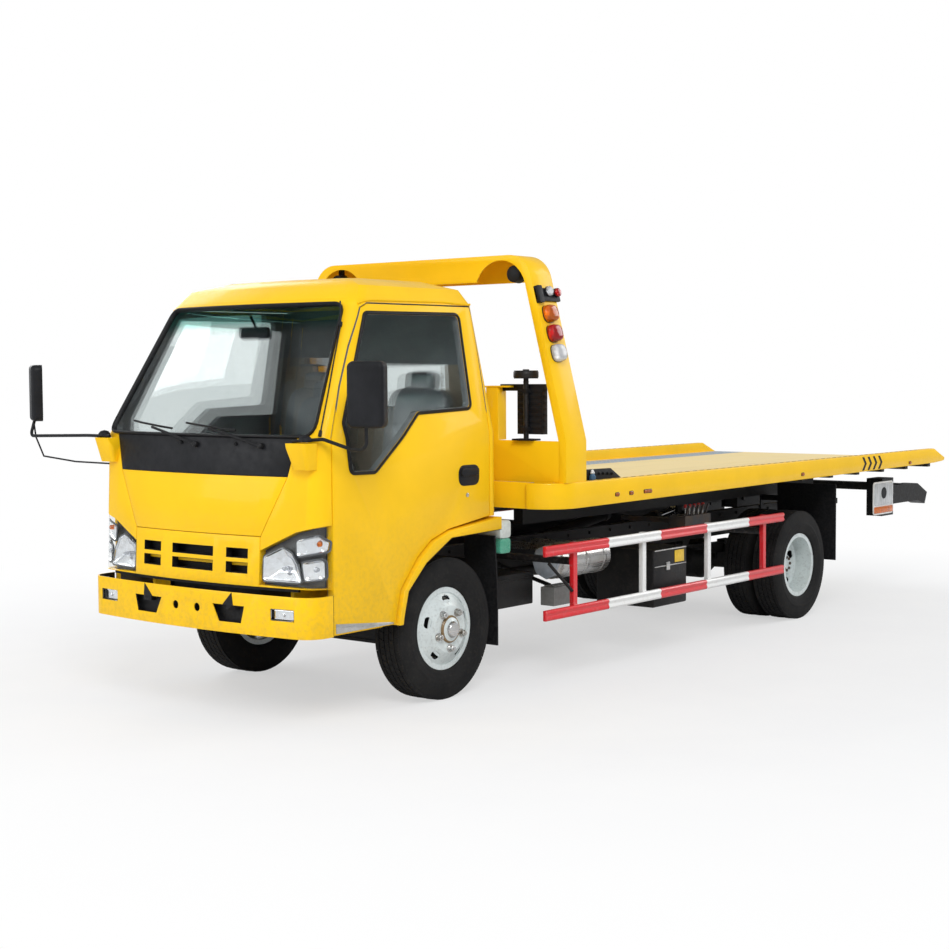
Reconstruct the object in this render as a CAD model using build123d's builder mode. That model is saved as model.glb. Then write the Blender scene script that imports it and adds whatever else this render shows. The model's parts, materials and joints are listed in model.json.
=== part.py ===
"""Flatbed tow truck: chassis, tilting cab, tilting and sliding bed, and rear under-lift.

Millimetres. +X is the truck's left, -Y its front, +Z up. The origin is on the ground, under the middle of
the front axle. Left-hand pieces are drawn and mirrored to the right.
"""

from math import cos, pi, sin, sqrt
import os

from build123d import *

os.makedirs("parts", exist_ok=True)

# ---- wheels and axles
WHEELBASE = 3815
TYRE_R = 387.5
TYRE_HALF_W = 100
TREAD_HALF_W = 82
TYRE_BULGE_R = 300
TYRE_SIDES = 64  # flats round a tyre, a multiple of four
RIM_R = 226
RIM_HALF_W = 76
RIM_WALL = 28
DISC_OFFSET = 116  # from a wheel's middle to the face where it bolts on
DISC_WALL = 9
DISC_FLAT_R = 128
DISC_FOOT = 46  # how far in from the bolting face the disc meets the rim
HAND_HOLES = 5
HAND_HOLE_R = 163
HAND_HOLE_L = 62
HAND_HOLE_W = 36
STUDS = 5
STUD_PCD = 208
STUD_HOLE_R = 11
HUB_R = 74
HUB_FLANGE_R = 126
FRONT_WHEEL_X = 709
REAR_OUTER_X = 852
REAR_INNER_X = REAR_OUTER_X - 2 * DISC_OFFSET
FIT = 0.05  # running clearance of a shaft, on the radius
SPINDLE_R = 24
DRUM_R = 160
DRUM_WALL = 10

# ---- steering
KINGPIN_X = 610
KINGPIN_R = 14
KINGPIN_EYE_R = 36
KINGPIN_EYE_H = 84
EAR_H = 26
EAR_GAP = 1
STEER_ARM = 150  # behind the kingpin
TIE_ROD_R = 14
TIE_ROD_DROP = 66

# ---- ladder frame
FRAME_HALF_W = 350
FRAME_TOP = 760
FRAME_H = 180
FRAME_FLANGE = 60
FRAME_WALL = 7
FRAME_FRONT = -950
FRAME_REAR = 4960
CROSS_H = 100
CROSS_L = 70
CROSS_MEMBERS = (-900, -560, 760, 1600, 2150, WHEELBASE - 295, WHEELBASE + 465)

# ---- leaf springs: half span, rise of the eyes, leaves
SPRING_X = 320
SPRING_W = 60
LEAF_T = 12
EYE_R = 20
# centre y, half span, rise of the ends, underside of the pack at its middle, leaves as shares of the span
SPRINGS = (
    (0, 520, 96, 352, (1.0, 0.8, 0.6, 0.4)),
    (WHEELBASE, 600, 22, 452, (1.0, 0.86, 0.72, 0.58, 0.44, 0.3)),
)
AXLE_SEAT_L = 120

# ---- cab, measured at the outside of its skin
CAB_HALF_W = 840
CAB_REAR = 400
CAB_WALL = 40
# height, half width, front y at the middle, front y at the side, front corner radius, rear y, rear radius
CAB_SECTIONS = (
    (460, 840, -1125, -1037, 140, 400, 30),
    (1450, 840, -1072, -982, 105, 400, 40),
    (2150, 712, -684, -592, 90, 366, 60),
    (2235, 660, -600, -522, 90, 330, 60),
    (2282, 480, -430, -380, 80, 230, 60),
)
PANEL_GAP = 4
DOOR_GAP = 8
PANEL_BOTTOM = 705
GRILLE_TOP = 955
COWL_BOTTOM = 1260
SCREEN_BOTTOM = 1463
SCREEN_TOP = 2128
ROOF_SPLIT = 2158
SCREEN_HALF_BOTTOM = 770
SCREEN_HALF_TOP = 640
REAR_WALL_FRONT = 342
FLOOR_Z = 800
FLOOR_T = 40
PLATFORM_Z = 980
RISER_Y = -500
RISER_T = 30
FLOOR_HALF_W = 775
NOSE_HALF_W = 470
GLASS_T = 5
GLASS_INSET = 14
STEP_Z = 455

# inner limit of what belongs to a door: x, z
DOOR_INNER = ((765, 400), (765, 1452), (790, 1463), (650, 2175))
# half of the front's middle panels: x, z
FRONT_SEAM = ((473, 600), (473, GRILLE_TOP), (632, COWL_BOTTOM), (682, SCREEN_BOTTOM - 8))
GRILLE_SLOTS = (  # x from, x to, z from, z to
    (-398, -250, 842, 893),
    (-155, 158, 842, 893),
    (250, 398, 842, 893),
    (-398, -250, 765, 822),
    (-155, 158, 765, 822),
    (250, 398, 765, 822),
)
LAMP_OUTLINE = ((478, 716), (478, 886), (690, 985), (900, 1034), (900, 706))
# door: y, z
DOOR_OUTLINE = (
    (-922, 472), (-920, 1452), (-800, 1710), (-692, 1910), (-598, 2060), (-570, 2110), (-520, 2134),
    (318, 2138), (334, 2096), (334, 984), (-23, 936), (-169, 888), (-280, 807), (-418, 648), (-453, 510),
    (-456, 472),
)
WINDOW_OUTLINE = (
    (-545, 2080), (206, 2088), (196, 1588), (-249, 1572), (-609, 1279), (-784, 1281), (-820, 1525),
)
# upper and lower edge of the wheel arch's flare: y, z
FLARE_TOP = ((-448, 464), (-444, 508), (-408, 642), (-272, 798), (-166, 878), (-26, 926), (420, 972))
FLARE_LIP = ((420, 902), (-20, 888), (-232, 771), (-376, 636), (-411, 508), (-418, 464))
FLARE_X = (745, 862)
CAB_HINGE = (-985, 776)
CAB_HINGE_R = 14
CAB_HINGE_X = 320

# ---- bumper
BUMPER_HALF_W = 846
BUMPER_FRONT = -1150
BUMPER_SIDE_FRONT = -1085
BUMPER_REAR = -932
BUMPER_Z = (464, 672)
BUMPER_WALL = 6
BUMPER_CORNER = 110
INTAKE = ((195, 606), (418, 606), (395, 518), (240, 518))
TOW_HOLE = (82, 577, 22)
FOG = (662, 578, 150, 60)

# ---- bed
BED_HALF_W = 1100
BED_FRONT = 600
BED_TAIL = 6000
RAIL_TOP = 1150
RAIL_BOTTOM = 1002
RAIL_BOTTOM_TAIL = 1036
RAIL_W = 60
FRONT_BEAM_SETBACK = 25
BED_CORNER = 210
DECK_Z = 1070
DECK_T = 8
BEAM_X = 400
BEAM_W = 70
BEAM_H = 100
RIB_H = 60
RIB_L = 50
RIB_PITCH = 430

# ---- arch
ARCH_Y = (715, 915)
ARCH_FOOT_X = 1092
ARCH_TOP_X = 815
ARCH_TOP = 2450
ARCH_BEAM_H = 150
ARCH_LEG_W = 52
ARCH_WALL = 8
ARCH_CORNER = 170
ARCH_NOTCH = (627, 2234, 187)  # x, z and radius of the front plate's round notch in each corner
ARCH_GUSSET = 120  # the rear plate's slanted corner
LAMP_Y = 806
LAMP_HEIGHTS = (2107, 1994, 1882)
LAMP_SIZE = (108, 102, 42, 50)  # width, height, corner radius, depth
LAMP_BRACKET = (718, 940, 2217, 76, 12)  # y from, y to, z of the middle, height, depth
BRACKET_LAMPS = ((834, 2235, 28), (910, 2229, 25))  # y, z, radius
WORK_LAMP = (695, 2343, 50, 750, 60)  # x, z, radius, front, depth
HAND_SCREW = (801, 730, 15)  # x, y, radius
HAND_SCREW_TOP = 1787
HAND_WHEEL = (70, 46)
HAND_SCREW_BOX = (723, 905, 750, 795, 1421, 1700)
POST = (520, 608, 1690)  # x from, x to, top
BOARD_FOOT_X = 995  # the headboard's half width between the rails
BOARD_TOP = 1386

# ---- tilt frame, hinged behind the rear axle: y, z
TILT_HINGE = (4800, 815)
TILT_FRAME_Z = (848, 944)
TILT_FRAME_Y = (1180, 5000)
TILT_BEAM_W = 70
HINGE_PIN_R = 25
HINGE_CHEEK_X = BEAM_X - 31
PAD_T = 17.5  # slide pads on the tilt frame's beams, just clear of the bed's
PAD_Y = (1500, 2600, 3700, 4800)

# ---- tilt cylinders: foot on the chassis and head on the tilt frame, y, z
CYL_X = 215
CYL_FOOT = (2230, 640)
CYL_HEAD = (3300, 790)
CYL_R = 42
CYL_ROD_R = 25
CYL_BARREL_L = 830
CYL_EYE_W = 40
CYL_PIN_R = 14
HEAD_PIN_R = 12
HEAD_EYE = (44, 31)  # outer radius, and a bore that lets the eye drift about its pin

# ---- slide cylinder, along the middle
SLIDE_Z = 925
SLIDE_R = 36
SLIDE_ROD_R = 22
SLIDE_Y = (1260, 4760)
SLIDE_LUG_Y = 4860

# ---- under-lift, carried by the tilt frame
LIFT_Z = 772
LIFT_TUBE = (140, 108, 8)  # width, height, wall
LIFT_Y = (4440, 5400)
LIFT_STROKE = 800
CROSSBAR_Y = 5540
CROSSBAR_HALF = 930
CROSSBAR_H = 60
PIVOT_R = 22
PIVOT_HEAD = 7  # how far the crossbar's pin stands above it

# ---- engine and drive line: x from, x to, y from, y to, z from, z to
ENGINE = (-250, 250, -380, 330, 470, 940)
RADIATOR = (-270, 270, -470, -410, 590, 930)
GEARBOX = (-130, 130, 330, 690, 480, 740)
PINION_Y = WHEELBASE - 230
SHAFT_R = 40
AXLE_END_R = 40

# ---- cab openings and steering wheel
SCREEN_OUTLINE = (
    (-SCREEN_HALF_BOTTOM, SCREEN_BOTTOM), (SCREEN_HALF_BOTTOM, SCREEN_BOTTOM),
    (SCREEN_HALF_TOP, SCREEN_TOP), (-SCREEN_HALF_TOP, SCREEN_TOP),
)
REAR_WINDOW = (-520, 520, 1560, 2010)
WHEEL_X = 400
STEERING_AT = (WHEEL_X, -560, 1330)
COLUMN_DIR = Vector(0, 0.62, 1).normalized()

# ---- mirrors
MIRROR_W = 196
MIRROR_H = 326
MIRROR_Y = -936

# ---- side equipment
GUARD_X = 1070
GUARD_T = 30
GUARD_Y = (560, 3340)
GUARD_Z = (410, 772)
GUARD_RAIL_H = 60
GUARD_POSTS = (880, 1610, 2380, 3110)
GUARD_POST_W = 40
GUARD_ARM_Z = 690
SILENCER = (720, 650, 105, 1030, 1560)  # x, z, radius, y from, y to
TOOL_BOX = (560, 990, 1790, 2180, 310, 670)
FUEL_TANK = (-960, -480, 1250, 2050, 400, 690)

# ---- winch
WINCH = (0, 1080, 1190)  # x, y, z of the drum's axis
DRUM_HALF = 170

BIG = 3000  # reaches past everything


def save(part, name):
    """Label a finished piece and write its file."""
    part.label = name
    export_step(part, f"parts/{name}.step")
    return part


def both_sides(part):
    """The piece and its mirror image, as two solids of one node."""
    return Compound(children=[*part.solids(), *mirror(part, about=Plane.YZ).solids()])


def mirrored(part):
    return mirror(part, about=Plane.YZ)


def closed(points):
    """A face with straight sides in the sketch that is open."""
    Polygon(*points, align=None)


def grown(points, distance):
    """The outline with every side moved outwards; the points run either way round."""
    area = sum(a[0] * b[1] - b[0] * a[1] for a, b in zip(points, [*points[1:], points[0]]))
    way = distance if area > 0 else -distance
    lines = []
    for (x0, y0), (x1, y1) in zip(points, [*points[1:], points[0]]):
        length = sqrt((x1 - x0) ** 2 + (y1 - y0) ** 2)
        nx, ny = (y1 - y0) / length, (x0 - x1) / length
        lines.append((nx, ny, nx * x0 + ny * y0 + way))
    corners = []
    for (a, b, c), (d, e, f) in zip([lines[-1], *lines[:-1]], lines):
        det = a * e - b * d
        corners.append(((c * e - b * f) / det, (a * f - c * d) / det))
    return corners


def side_plane(x):
    """Sketches in it read (y, z)."""
    return Plane(origin=(x, 0, 0), x_dir=(0, 1, 0), z_dir=(1, 0, 0))


def front_plane(y):
    """Sketches in it read (x, z), and extrude towards the front."""
    return Plane(origin=(0, y, 0), x_dir=(1, 0, 0), z_dir=(0, -1, 0))


def side_prism(points, x0, x1):
    with BuildPart() as prism:
        with BuildSketch(side_plane(x0)):
            closed(points)
        extrude(amount=x1 - x0)
    return prism.part


def front_prism(points, y0, y1):
    """Between y0 and a smaller y1."""
    with BuildPart() as prism:
        with BuildSketch(front_plane(y0)):
            closed(points)
        extrude(amount=y0 - y1)
    return prism.part


def block(x0, x1, y0, y1, z0, z1):
    with BuildPart() as body:
        with Locations(((x0 + x1) / 2, (y0 + y1) / 2, (z0 + z1) / 2)):
            Box(x1 - x0, y1 - y0, z1 - z0)
    return body.part


def rod_between(start, end, radius, bore=0):
    """A round bar, or a tube, from one point to another."""
    axis = Plane(origin=start, z_dir=Vector(*end) - Vector(*start))
    with BuildPart() as bar:
        with BuildSketch(axis):
            Circle(radius)
            if bore:
                Circle(bore, mode=Mode.SUBTRACT)
        extrude(amount=(Vector(*end) - Vector(*start)).length)
    return bar.part


# ---------------------------------------------------------------- wheels


def wheel_plane(y):
    """Sketches in it read (x, radius) about an axle at wheel height."""
    return Plane(origin=(0, y, TYRE_R), x_dir=(1, 0, 0), z_dir=(0, -1, 0))


def axle_axis(y):
    return Axis((0, y, TYRE_R), (1, 0, 0))


def turned(points, y):
    """A solid turned about the axle at y, from points (x, radius)."""
    with BuildPart() as body:
        with BuildSketch(wheel_plane(y)):
            closed(points)
        revolve(axis=axle_axis(y))
    return body.part


def tyre_ring(x, radius, y):
    """A section of the tyre's outer form, with a corner straight below the axle."""
    with BuildSketch(Plane(origin=(x, y, TYRE_R), x_dir=(0, 1, 0), z_dir=(1, 0, 0))) as ring:
        RegularPolygon(radius, TYRE_SIDES)
    return ring.sketch


def tyre(x, y):
    """Bulged walls and a flat tread, of straight flats so that its mesh stays small."""
    bead_r = RIM_R / cos(pi / TYRE_SIDES)
    rows = ((-TYRE_HALF_W, TYRE_BULGE_R), (-TREAD_HALF_W, TYRE_R), (TREAD_HALF_W, TYRE_R), (TYRE_HALF_W, TYRE_BULGE_R))
    with BuildPart() as body:
        loft([tyre_ring(x + along, radius, y) for along, radius in rows], ruled=True)
        for side in (-1, 1):
            loft(
                [tyre_ring(x + side * TYRE_HALF_W, TYRE_BULGE_R, y), tyre_ring(x + side * RIM_HALF_W, bead_r, y)],
                ruled=True, mode=Mode.SUBTRACT,
            )
        loft([tyre_ring(x - RIM_HALF_W, bead_r, y), tyre_ring(x + RIM_HALF_W, bead_r, y)], ruled=True, mode=Mode.SUBTRACT)
    return body.part


def rim(x, y, way):
    """way is +1 where the disc's bolting face looks outboard."""
    face = x + way * DISC_OFFSET
    back = face - way * DISC_WALL
    foot = face - way * DISC_FOOT
    inner = RIM_R - RIM_WALL
    with BuildPart() as body:
        with BuildSketch(wheel_plane(y)):
            closed([(x - RIM_HALF_W, RIM_R), (x + RIM_HALF_W, RIM_R), (x + RIM_HALF_W, inner), (x - RIM_HALF_W, inner)])
            closed([
                (back, HUB_R), (face, HUB_R), (face, DISC_FLAT_R),
                (foot, inner + 1), (foot - way * 2 * DISC_WALL, inner + 1), (back, DISC_FLAT_R - 4),
            ])
        revolve(axis=axle_axis(y))
        with BuildSketch(Plane(origin=(x, y, TYRE_R), x_dir=(0, 1, 0), z_dir=(1, 0, 0))):
            with PolarLocations(HAND_HOLE_R, HAND_HOLES, start_angle=90):
                SlotOverall(HAND_HOLE_L, HAND_HOLE_W, rotation=90)
        extrude(amount=way * DISC_OFFSET, mode=Mode.SUBTRACT)
        with BuildSketch(Plane(origin=(x, y, TYRE_R), x_dir=(0, 1, 0), z_dir=(1, 0, 0))):
            with PolarLocations(STUD_PCD / 2, STUDS, start_angle=54):
                Circle(STUD_HOLE_R)
        extrude(amount=way * (DISC_OFFSET + 1), mode=Mode.SUBTRACT)
    return body.part


def front_hub():
    """Brake drum, hub barrel and grease cap, turning on the spindle."""
    face = FRONT_WHEEL_X + DISC_OFFSET - DISC_WALL
    return turned(
        [
            (FRONT_WHEEL_X - 16, DRUM_R - DRUM_WALL), (FRONT_WHEEL_X - 16, DRUM_R), (face - 12, DRUM_R),
            (face, HUB_FLANGE_R), (face, HUB_R), (face + 20, HUB_R - 6), (face + 30, 44),
            (face + 46, 36), (face + 46, 0.0), (face + 24, 0.0), (face + 24, SPINDLE_R + FIT),
            (FRONT_WHEEL_X - 10, SPINDLE_R + FIT), (FRONT_WHEEL_X - 10, 52), (face - 22, 60),
            (face - 22, DRUM_R - DRUM_WALL),
        ],
        0,
    )


def rear_hub():
    """Drum and hub of the twin wheels; the driven flange closes its outer end."""
    face = REAR_INNER_X + DISC_OFFSET - DISC_WALL
    bore = AXLE_END_R + FIT
    return turned(
        [
            (face - 170, DRUM_R - DRUM_WALL), (face - 170, DRUM_R + 12), (face - 14, DRUM_R + 12),
            (face, HUB_FLANGE_R), (face, HUB_R), (face + 96, HUB_R - 6), (face + 104, 58),
            (face + 104, 0.0), (face + 92, 0.0), (face + 92, bore), (face - 160, bore),
            (face - 160, 62), (face - 24, 62), (face - 24, DRUM_R - DRUM_WALL),
        ],
        WHEELBASE,
    )


left_tyre = save(tyre(FRONT_WHEEL_X, 0), "tyre_front_left")
left_rim = save(rim(FRONT_WHEEL_X, 0, 1) + front_hub(), "rim_front_left")
twin_tyres = Compound(children=[tyre(REAR_OUTER_X, WHEELBASE), tyre(REAR_INNER_X, WHEELBASE)])
twin_rims = rim(REAR_OUTER_X, WHEELBASE, -1) + rim(REAR_INNER_X, WHEELBASE, 1) + rear_hub()
save(twin_tyres, "tyres_rear_left")
save(twin_rims, "rims_rear_left")
for piece, name in (
    (left_tyre, "tyre_front_right"),
    (left_rim, "rim_front_right"),
    (twin_tyres, "tyres_rear_right"),
    (twin_rims, "rims_rear_right"),
):
    save(mirrored(piece), name)


# ---------------------------------------------------------------- knuckles, tie rod and front axle


def knuckle():
    eye_top = TYRE_R + KINGPIN_EYE_H / 2
    eye_low = TYRE_R - KINGPIN_EYE_H / 2
    web_x = KINGPIN_X + KINGPIN_EYE_R + 6
    plate_x = FRONT_WHEEL_X - 30
    with BuildPart() as body:
        for low in (eye_top + EAR_GAP, eye_low - EAR_GAP - EAR_H):
            with BuildSketch(Plane.XY.offset(low)):
                with Locations((KINGPIN_X, 0)):
                    Circle(KINGPIN_EYE_R)
                with Locations(((KINGPIN_X + web_x + 12) / 2, 0)):
                    Rectangle(web_x + 12 - KINGPIN_X, 64)
            extrude(amount=EAR_H)
        height = KINGPIN_EYE_H + 2 * (EAR_GAP + EAR_H)
        with Locations((web_x + 8, 0, TYRE_R)):
            Box(16, 64, height)
        with Locations((KINGPIN_X, 0, TYRE_R)):
            Cylinder(KINGPIN_R, height)
        with BuildSketch(wheel_plane(0)):
            closed([
                (web_x + 4, 0), (web_x + 4, 46), (plate_x - 6, 46), (plate_x - 6, DRUM_R - 4),
                (plate_x, DRUM_R - 4), (plate_x, 40), (FRONT_WHEEL_X - 20, 40), (FRONT_WHEEL_X - 20, SPINDLE_R),
                (FRONT_WHEEL_X + DISC_OFFSET, SPINDLE_R), (FRONT_WHEEL_X + DISC_OFFSET, 0),
            ])
        revolve(axis=axle_axis(0))
        low = eye_low - EAR_GAP - EAR_H
        with BuildSketch(Plane.XY.offset(low)):
            closed([
                (KINGPIN_X - 24, 20), (KINGPIN_X - 40, STEER_ARM - 20), (KINGPIN_X - 40, STEER_ARM + 20),
                (KINGPIN_X - 4, STEER_ARM + 20), (KINGPIN_X + 4, STEER_ARM - 20), (KINGPIN_X + 24, 20),
            ])
        extrude(amount=22)
    return body.part


def tie_rod():
    """Hangs below the two steering arms; its ends are ball joints, drawn as studs clear of the arms."""
    z = TYRE_R - TIE_ROD_DROP - 32
    end = KINGPIN_X - 22
    with BuildPart() as body:
        with BuildSketch(Plane(origin=(-end, STEER_ARM, z), x_dir=(0, 1, 0), z_dir=(1, 0, 0))):
            Circle(TIE_ROD_R)
        extrude(amount=2 * end)
        for side in (-1, 1):
            with Locations((side * end, STEER_ARM, z)):
                Cylinder(22, 36)
    return body.part


def front_axle():
    with BuildPart() as body:
        with BuildSketch(front_plane(32)):
            with BuildLine():
                Polyline(
                    (-KINGPIN_X, 416), (-520, 408), (-430, 330), (430, 330), (520, 408), (KINGPIN_X, 416),
                    (KINGPIN_X, 358), (505, 346), (415, 262), (-415, 262), (-505, 346), (-KINGPIN_X, 358), close=True,
                )
            make_face()
        extrude(amount=64)
        for side in (-1, 1):
            with Locations((side * SPRING_X, 0, 340)):
                Box(SPRING_W + 16, AXLE_SEAT_L, 24)
            with Locations((side * KINGPIN_X, 0, TYRE_R)):
                Cylinder(KINGPIN_EYE_R, KINGPIN_EYE_H)
        # the forged beam's waist
        for y in (-32, 32):
            with BuildSketch(front_plane(y + 9)):
                with Locations((0, 296)):
                    Rectangle(760, 36)
            extrude(amount=18, mode=Mode.SUBTRACT)
        for side in (-1, 1):
            with Locations((side * (KINGPIN_X + 40), 0, TYRE_R)):
                Box(24, 80, 300, mode=Mode.SUBTRACT)
            with Locations((side * KINGPIN_X, 0, TYRE_R)):
                Cylinder(KINGPIN_R + FIT, 200, mode=Mode.SUBTRACT)
    return body.part


left_knuckle = save(knuckle(), "knuckle_left")
save(mirrored(left_knuckle), "knuckle_right")
save(tie_rod(), "tie_rod")
save(front_axle(), "front_axle")


# ---------------------------------------------------------------- springs


def leaf_spring(y0, half_span, rise, low, shares):
    """Leaves lie under the main one, each bent about the same centre."""
    main_low = low + LEAF_T * (len(shares) - 1)
    radius = (half_span**2 + rise**2) / (2 * rise)
    centre_z = main_low + radius
    with BuildPart() as body:
        for i, share in enumerate(shares):
            outer = radius + LEAF_T * i
            inner = outer - LEAF_T
            swing = half_span * share / radius
            tips = [
                [(y0 + r * sin(a), centre_z - r * cos(a)) for a in (-swing, 0, swing)]
                for r in (inner, outer)
            ]
            with BuildSketch(side_plane(SPRING_X - SPRING_W / 2)):
                with BuildLine():
                    ThreePointArc(*tips[0])
                    Line(tips[0][2], tips[1][2])
                    ThreePointArc(*tips[1][::-1])
                    Line(tips[1][0], tips[0][0])
                make_face()
            extrude(amount=SPRING_W)
        swing = half_span / radius
        with BuildSketch(side_plane(SPRING_X - SPRING_W / 2)):
            for way in (-1, 1):
                r = radius - EYE_R + 2
                with Locations((y0 + way * r * sin(swing), centre_z - r * cos(swing))):
                    Circle(EYE_R)
        extrude(amount=SPRING_W)
        with Locations((SPRING_X, y0, main_low + LEAF_T + 8)):
            Box(SPRING_W, AXLE_SEAT_L, 20)
    return body.part


def eye_at(half_span, rise, low, shares):
    """Height of a spring's eyes, and their distance from its middle."""
    main_low = low + LEAF_T * (len(shares) - 1)
    radius = (half_span**2 + rise**2) / (2 * rise)
    r = radius - EYE_R + 2
    return main_low + radius - r * cos(half_span / radius), r * sin(half_span / radius)


packs = [leaf_spring(*row) for row in SPRINGS]
save(Compound(children=[*packs, *[mirrored(pack) for pack in packs]]), "leaf_springs")


# ---------------------------------------------------------------- rear axle


def rear_axle():
    face = REAR_INNER_X + DISC_OFFSET - DISC_WALL
    end = face + 88
    neck = face - 164
    with BuildPart() as body:
        with BuildSketch(wheel_plane(WHEELBASE)):
            closed([
                (-end, 0), (-end, AXLE_END_R), (-neck, AXLE_END_R), (-neck, 58), (-230, 62), (-130, 150),
                (130, 150), (230, 62), (neck, 58), (neck, AXLE_END_R), (end, AXLE_END_R), (end, 0),
            ])
        revolve(axis=axle_axis(WHEELBASE))
        with BuildSketch(Plane(origin=(0, WHEELBASE - 120, TYRE_R), x_dir=(1, 0, 0), z_dir=(0, -1, 0))):
            Circle(70)
        extrude(amount=110, taper=12)
        for side in (-1, 1):
            with Locations((side * SPRING_X, WHEELBASE, (452 + TYRE_R) / 2)):
                Box(SPRING_W + 16, AXLE_SEAT_L, 452 - TYRE_R)
    return body.part


save(rear_axle(), "rear_axle")


# ---------------------------------------------------------------- frame


def frame_rail():
    low = FRAME_TOP - FRAME_H
    inner = FRAME_HALF_W - FRAME_FLANGE
    with BuildPart() as body:
        with BuildSketch(front_plane(FRAME_REAR)):
            closed([
                (inner, low), (FRAME_HALF_W, low), (FRAME_HALF_W, FRAME_TOP), (inner, FRAME_TOP),
                (inner, FRAME_TOP - FRAME_WALL), (FRAME_HALF_W - FRAME_WALL, FRAME_TOP - FRAME_WALL),
                (FRAME_HALF_W - FRAME_WALL, low + FRAME_WALL), (inner, low + FRAME_WALL),
            ])
        extrude(amount=FRAME_REAR - FRAME_FRONT)
        # cheeks that carry the tilt frame's hinge, and the pin
        y, z = TILT_HINGE
        for x in (HINGE_CHEEK_X, HINGE_CHEEK_X + 46):
            with BuildSketch(side_plane(x)):
                closed([
                    (y - 70, FRAME_TOP - 60), (y - 70, FRAME_TOP), (y - 30, z + 18),
                    (y + 30, z + 18), (y + 70, FRAME_TOP), (y + 70, FRAME_TOP - 60),
                ])
            extrude(amount=12)
        with Locations((HINGE_CHEEK_X + 14, TILT_HINGE[0], FRAME_TOP - 50)):
            Box(FRAME_WALL + 90, 140, 20)
        with BuildSketch(side_plane(HINGE_CHEEK_X)):
            with Locations(TILT_HINGE):
                Circle(HINGE_PIN_R)
        extrude(amount=58)
        # cheeks that carry the cab's hinge, and the pin
        y, z = CAB_HINGE
        for x in (CAB_HINGE_X - 30, CAB_HINGE_X + 18):
            with BuildSketch(side_plane(x)):
                closed([
                    (FRAME_FRONT, FRAME_TOP - 20), (y - 18, z - 20), (y - 18, z + 2), (y - 8, z + 14),
                    (y + 35, z + 14), (y + 80, FRAME_TOP), (y + 80, FRAME_TOP - 20),
                ])
            extrude(amount=12)
        with BuildSketch(side_plane(CAB_HINGE_X - 30)):
            with Locations(CAB_HINGE):
                Circle(CAB_HINGE_R)
        extrude(amount=60)
    return body.part


def hangers():
    """Brackets from the rails' underside to the spring eyes."""
    low = FRAME_TOP - FRAME_H
    with BuildPart() as body:
        for y0, *spring in SPRINGS:
            z, reach = eye_at(*spring)
            for way in (-1, 1):
                y = y0 + way * reach
                for x in (SPRING_X - SPRING_W / 2 - 8, SPRING_X + SPRING_W / 2):
                    with BuildSketch(side_plane(x)):
                        closed([(y - 45, low), (y + 45, low), (y + 20, z - 14), (y - 20, z - 14)])
                    extrude(amount=8)
    return body.part


def cross_members():
    low = FRAME_TOP - FRAME_H
    reach = FRAME_HALF_W - FRAME_WALL
    with BuildPart() as body:
        for y in CROSS_MEMBERS:
            with Locations((0, y, low + FRAME_WALL + CROSS_H / 2)):
                Box(2 * reach, CROSS_L, CROSS_H)
        # lugs and pins of the tilt cylinders' feet
        for side in (-1, 1):
            for x in (CYL_X - CYL_EYE_W / 2 - 15, CYL_X + CYL_EYE_W / 2 + 5):
                with BuildSketch(side_plane(side * (x + 5) - 5)):
                    closed([
                        (CYL_FOOT[0] - 60, CYL_FOOT[1] + 30), (CYL_FOOT[0] + 22, CYL_FOOT[1] + 22),
                        (CYL_FOOT[0] + 22, CYL_FOOT[1] - 22), (CYL_FOOT[0] - 60, CYL_FOOT[1] - 40),
                    ])
                extrude(amount=10)
            with BuildSketch(side_plane(side * CYL_X - CYL_EYE_W / 2 - 8)):
                with Locations(CYL_FOOT):
                    Circle(CYL_PIN_R)
            extrude(amount=CYL_EYE_W + 16)
    return body.part


save(both_sides(frame_rail() + hangers()), "frame_rails")
save(cross_members(), "cross_members")


# ---------------------------------------------------------------- engine, radiator, driveline

save(Compound(children=[(block(*ENGINE) + block(*GEARBOX)).solid(), block(*RADIATOR)]), "engine")
with BuildPart() as shaft:
    with BuildSketch(front_plane(GEARBOX[3])):
        with Locations((0, 540)):
            Circle(SHAFT_R)
    with BuildSketch(front_plane(PINION_Y)):
        with Locations((0, TYRE_R)):
            Circle(SHAFT_R)
    loft(ruled=True)
save(shaft.part, "propeller_shaft")


# ---------------------------------------------------------------- cab


def cab_outline(height, half_w, front_mid, front_side, corner, rear, rear_corner, inset):
    """Plan of the cab at one height, drawn in by inset."""
    w = half_w - inset
    mid, side, back = front_mid + inset, front_side + inset, rear - inset
    with BuildSketch(Plane.XY.offset(height)) as plan:
        with BuildLine():
            ThreePointArc((-w, side), (0, mid), (w, side))
            Polyline((w, side), (w, back), (-w, back), (-w, side))
        make_face()
        front = plan.vertices().filter_by(lambda v: v.Y < (side + back) / 2)
        fillet(front, corner - inset)
        fillet(plan.vertices().group_by(Axis.Y)[-1], max(rear_corner - inset, 8))
    return plan.sketch


def cab_solid(inset):
    """The cab's outer form drawn in by inset, as one solid from the sills to the roof."""
    rows = [list(row) for row in CAB_SECTIONS]
    rows[-1][0] -= inset
    if inset:
        rows[0][0] -= 50
    with BuildPart() as body:
        for lower, upper in zip(rows, rows[1:]):
            sections = [cab_outline(*row, inset) for row in (lower, upper)]
            loft(sections, ruled=True)
    return body.part


outer = cab_solid(0)
inner = cab_solid(CAB_WALL)
wall = outer - inner

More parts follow.
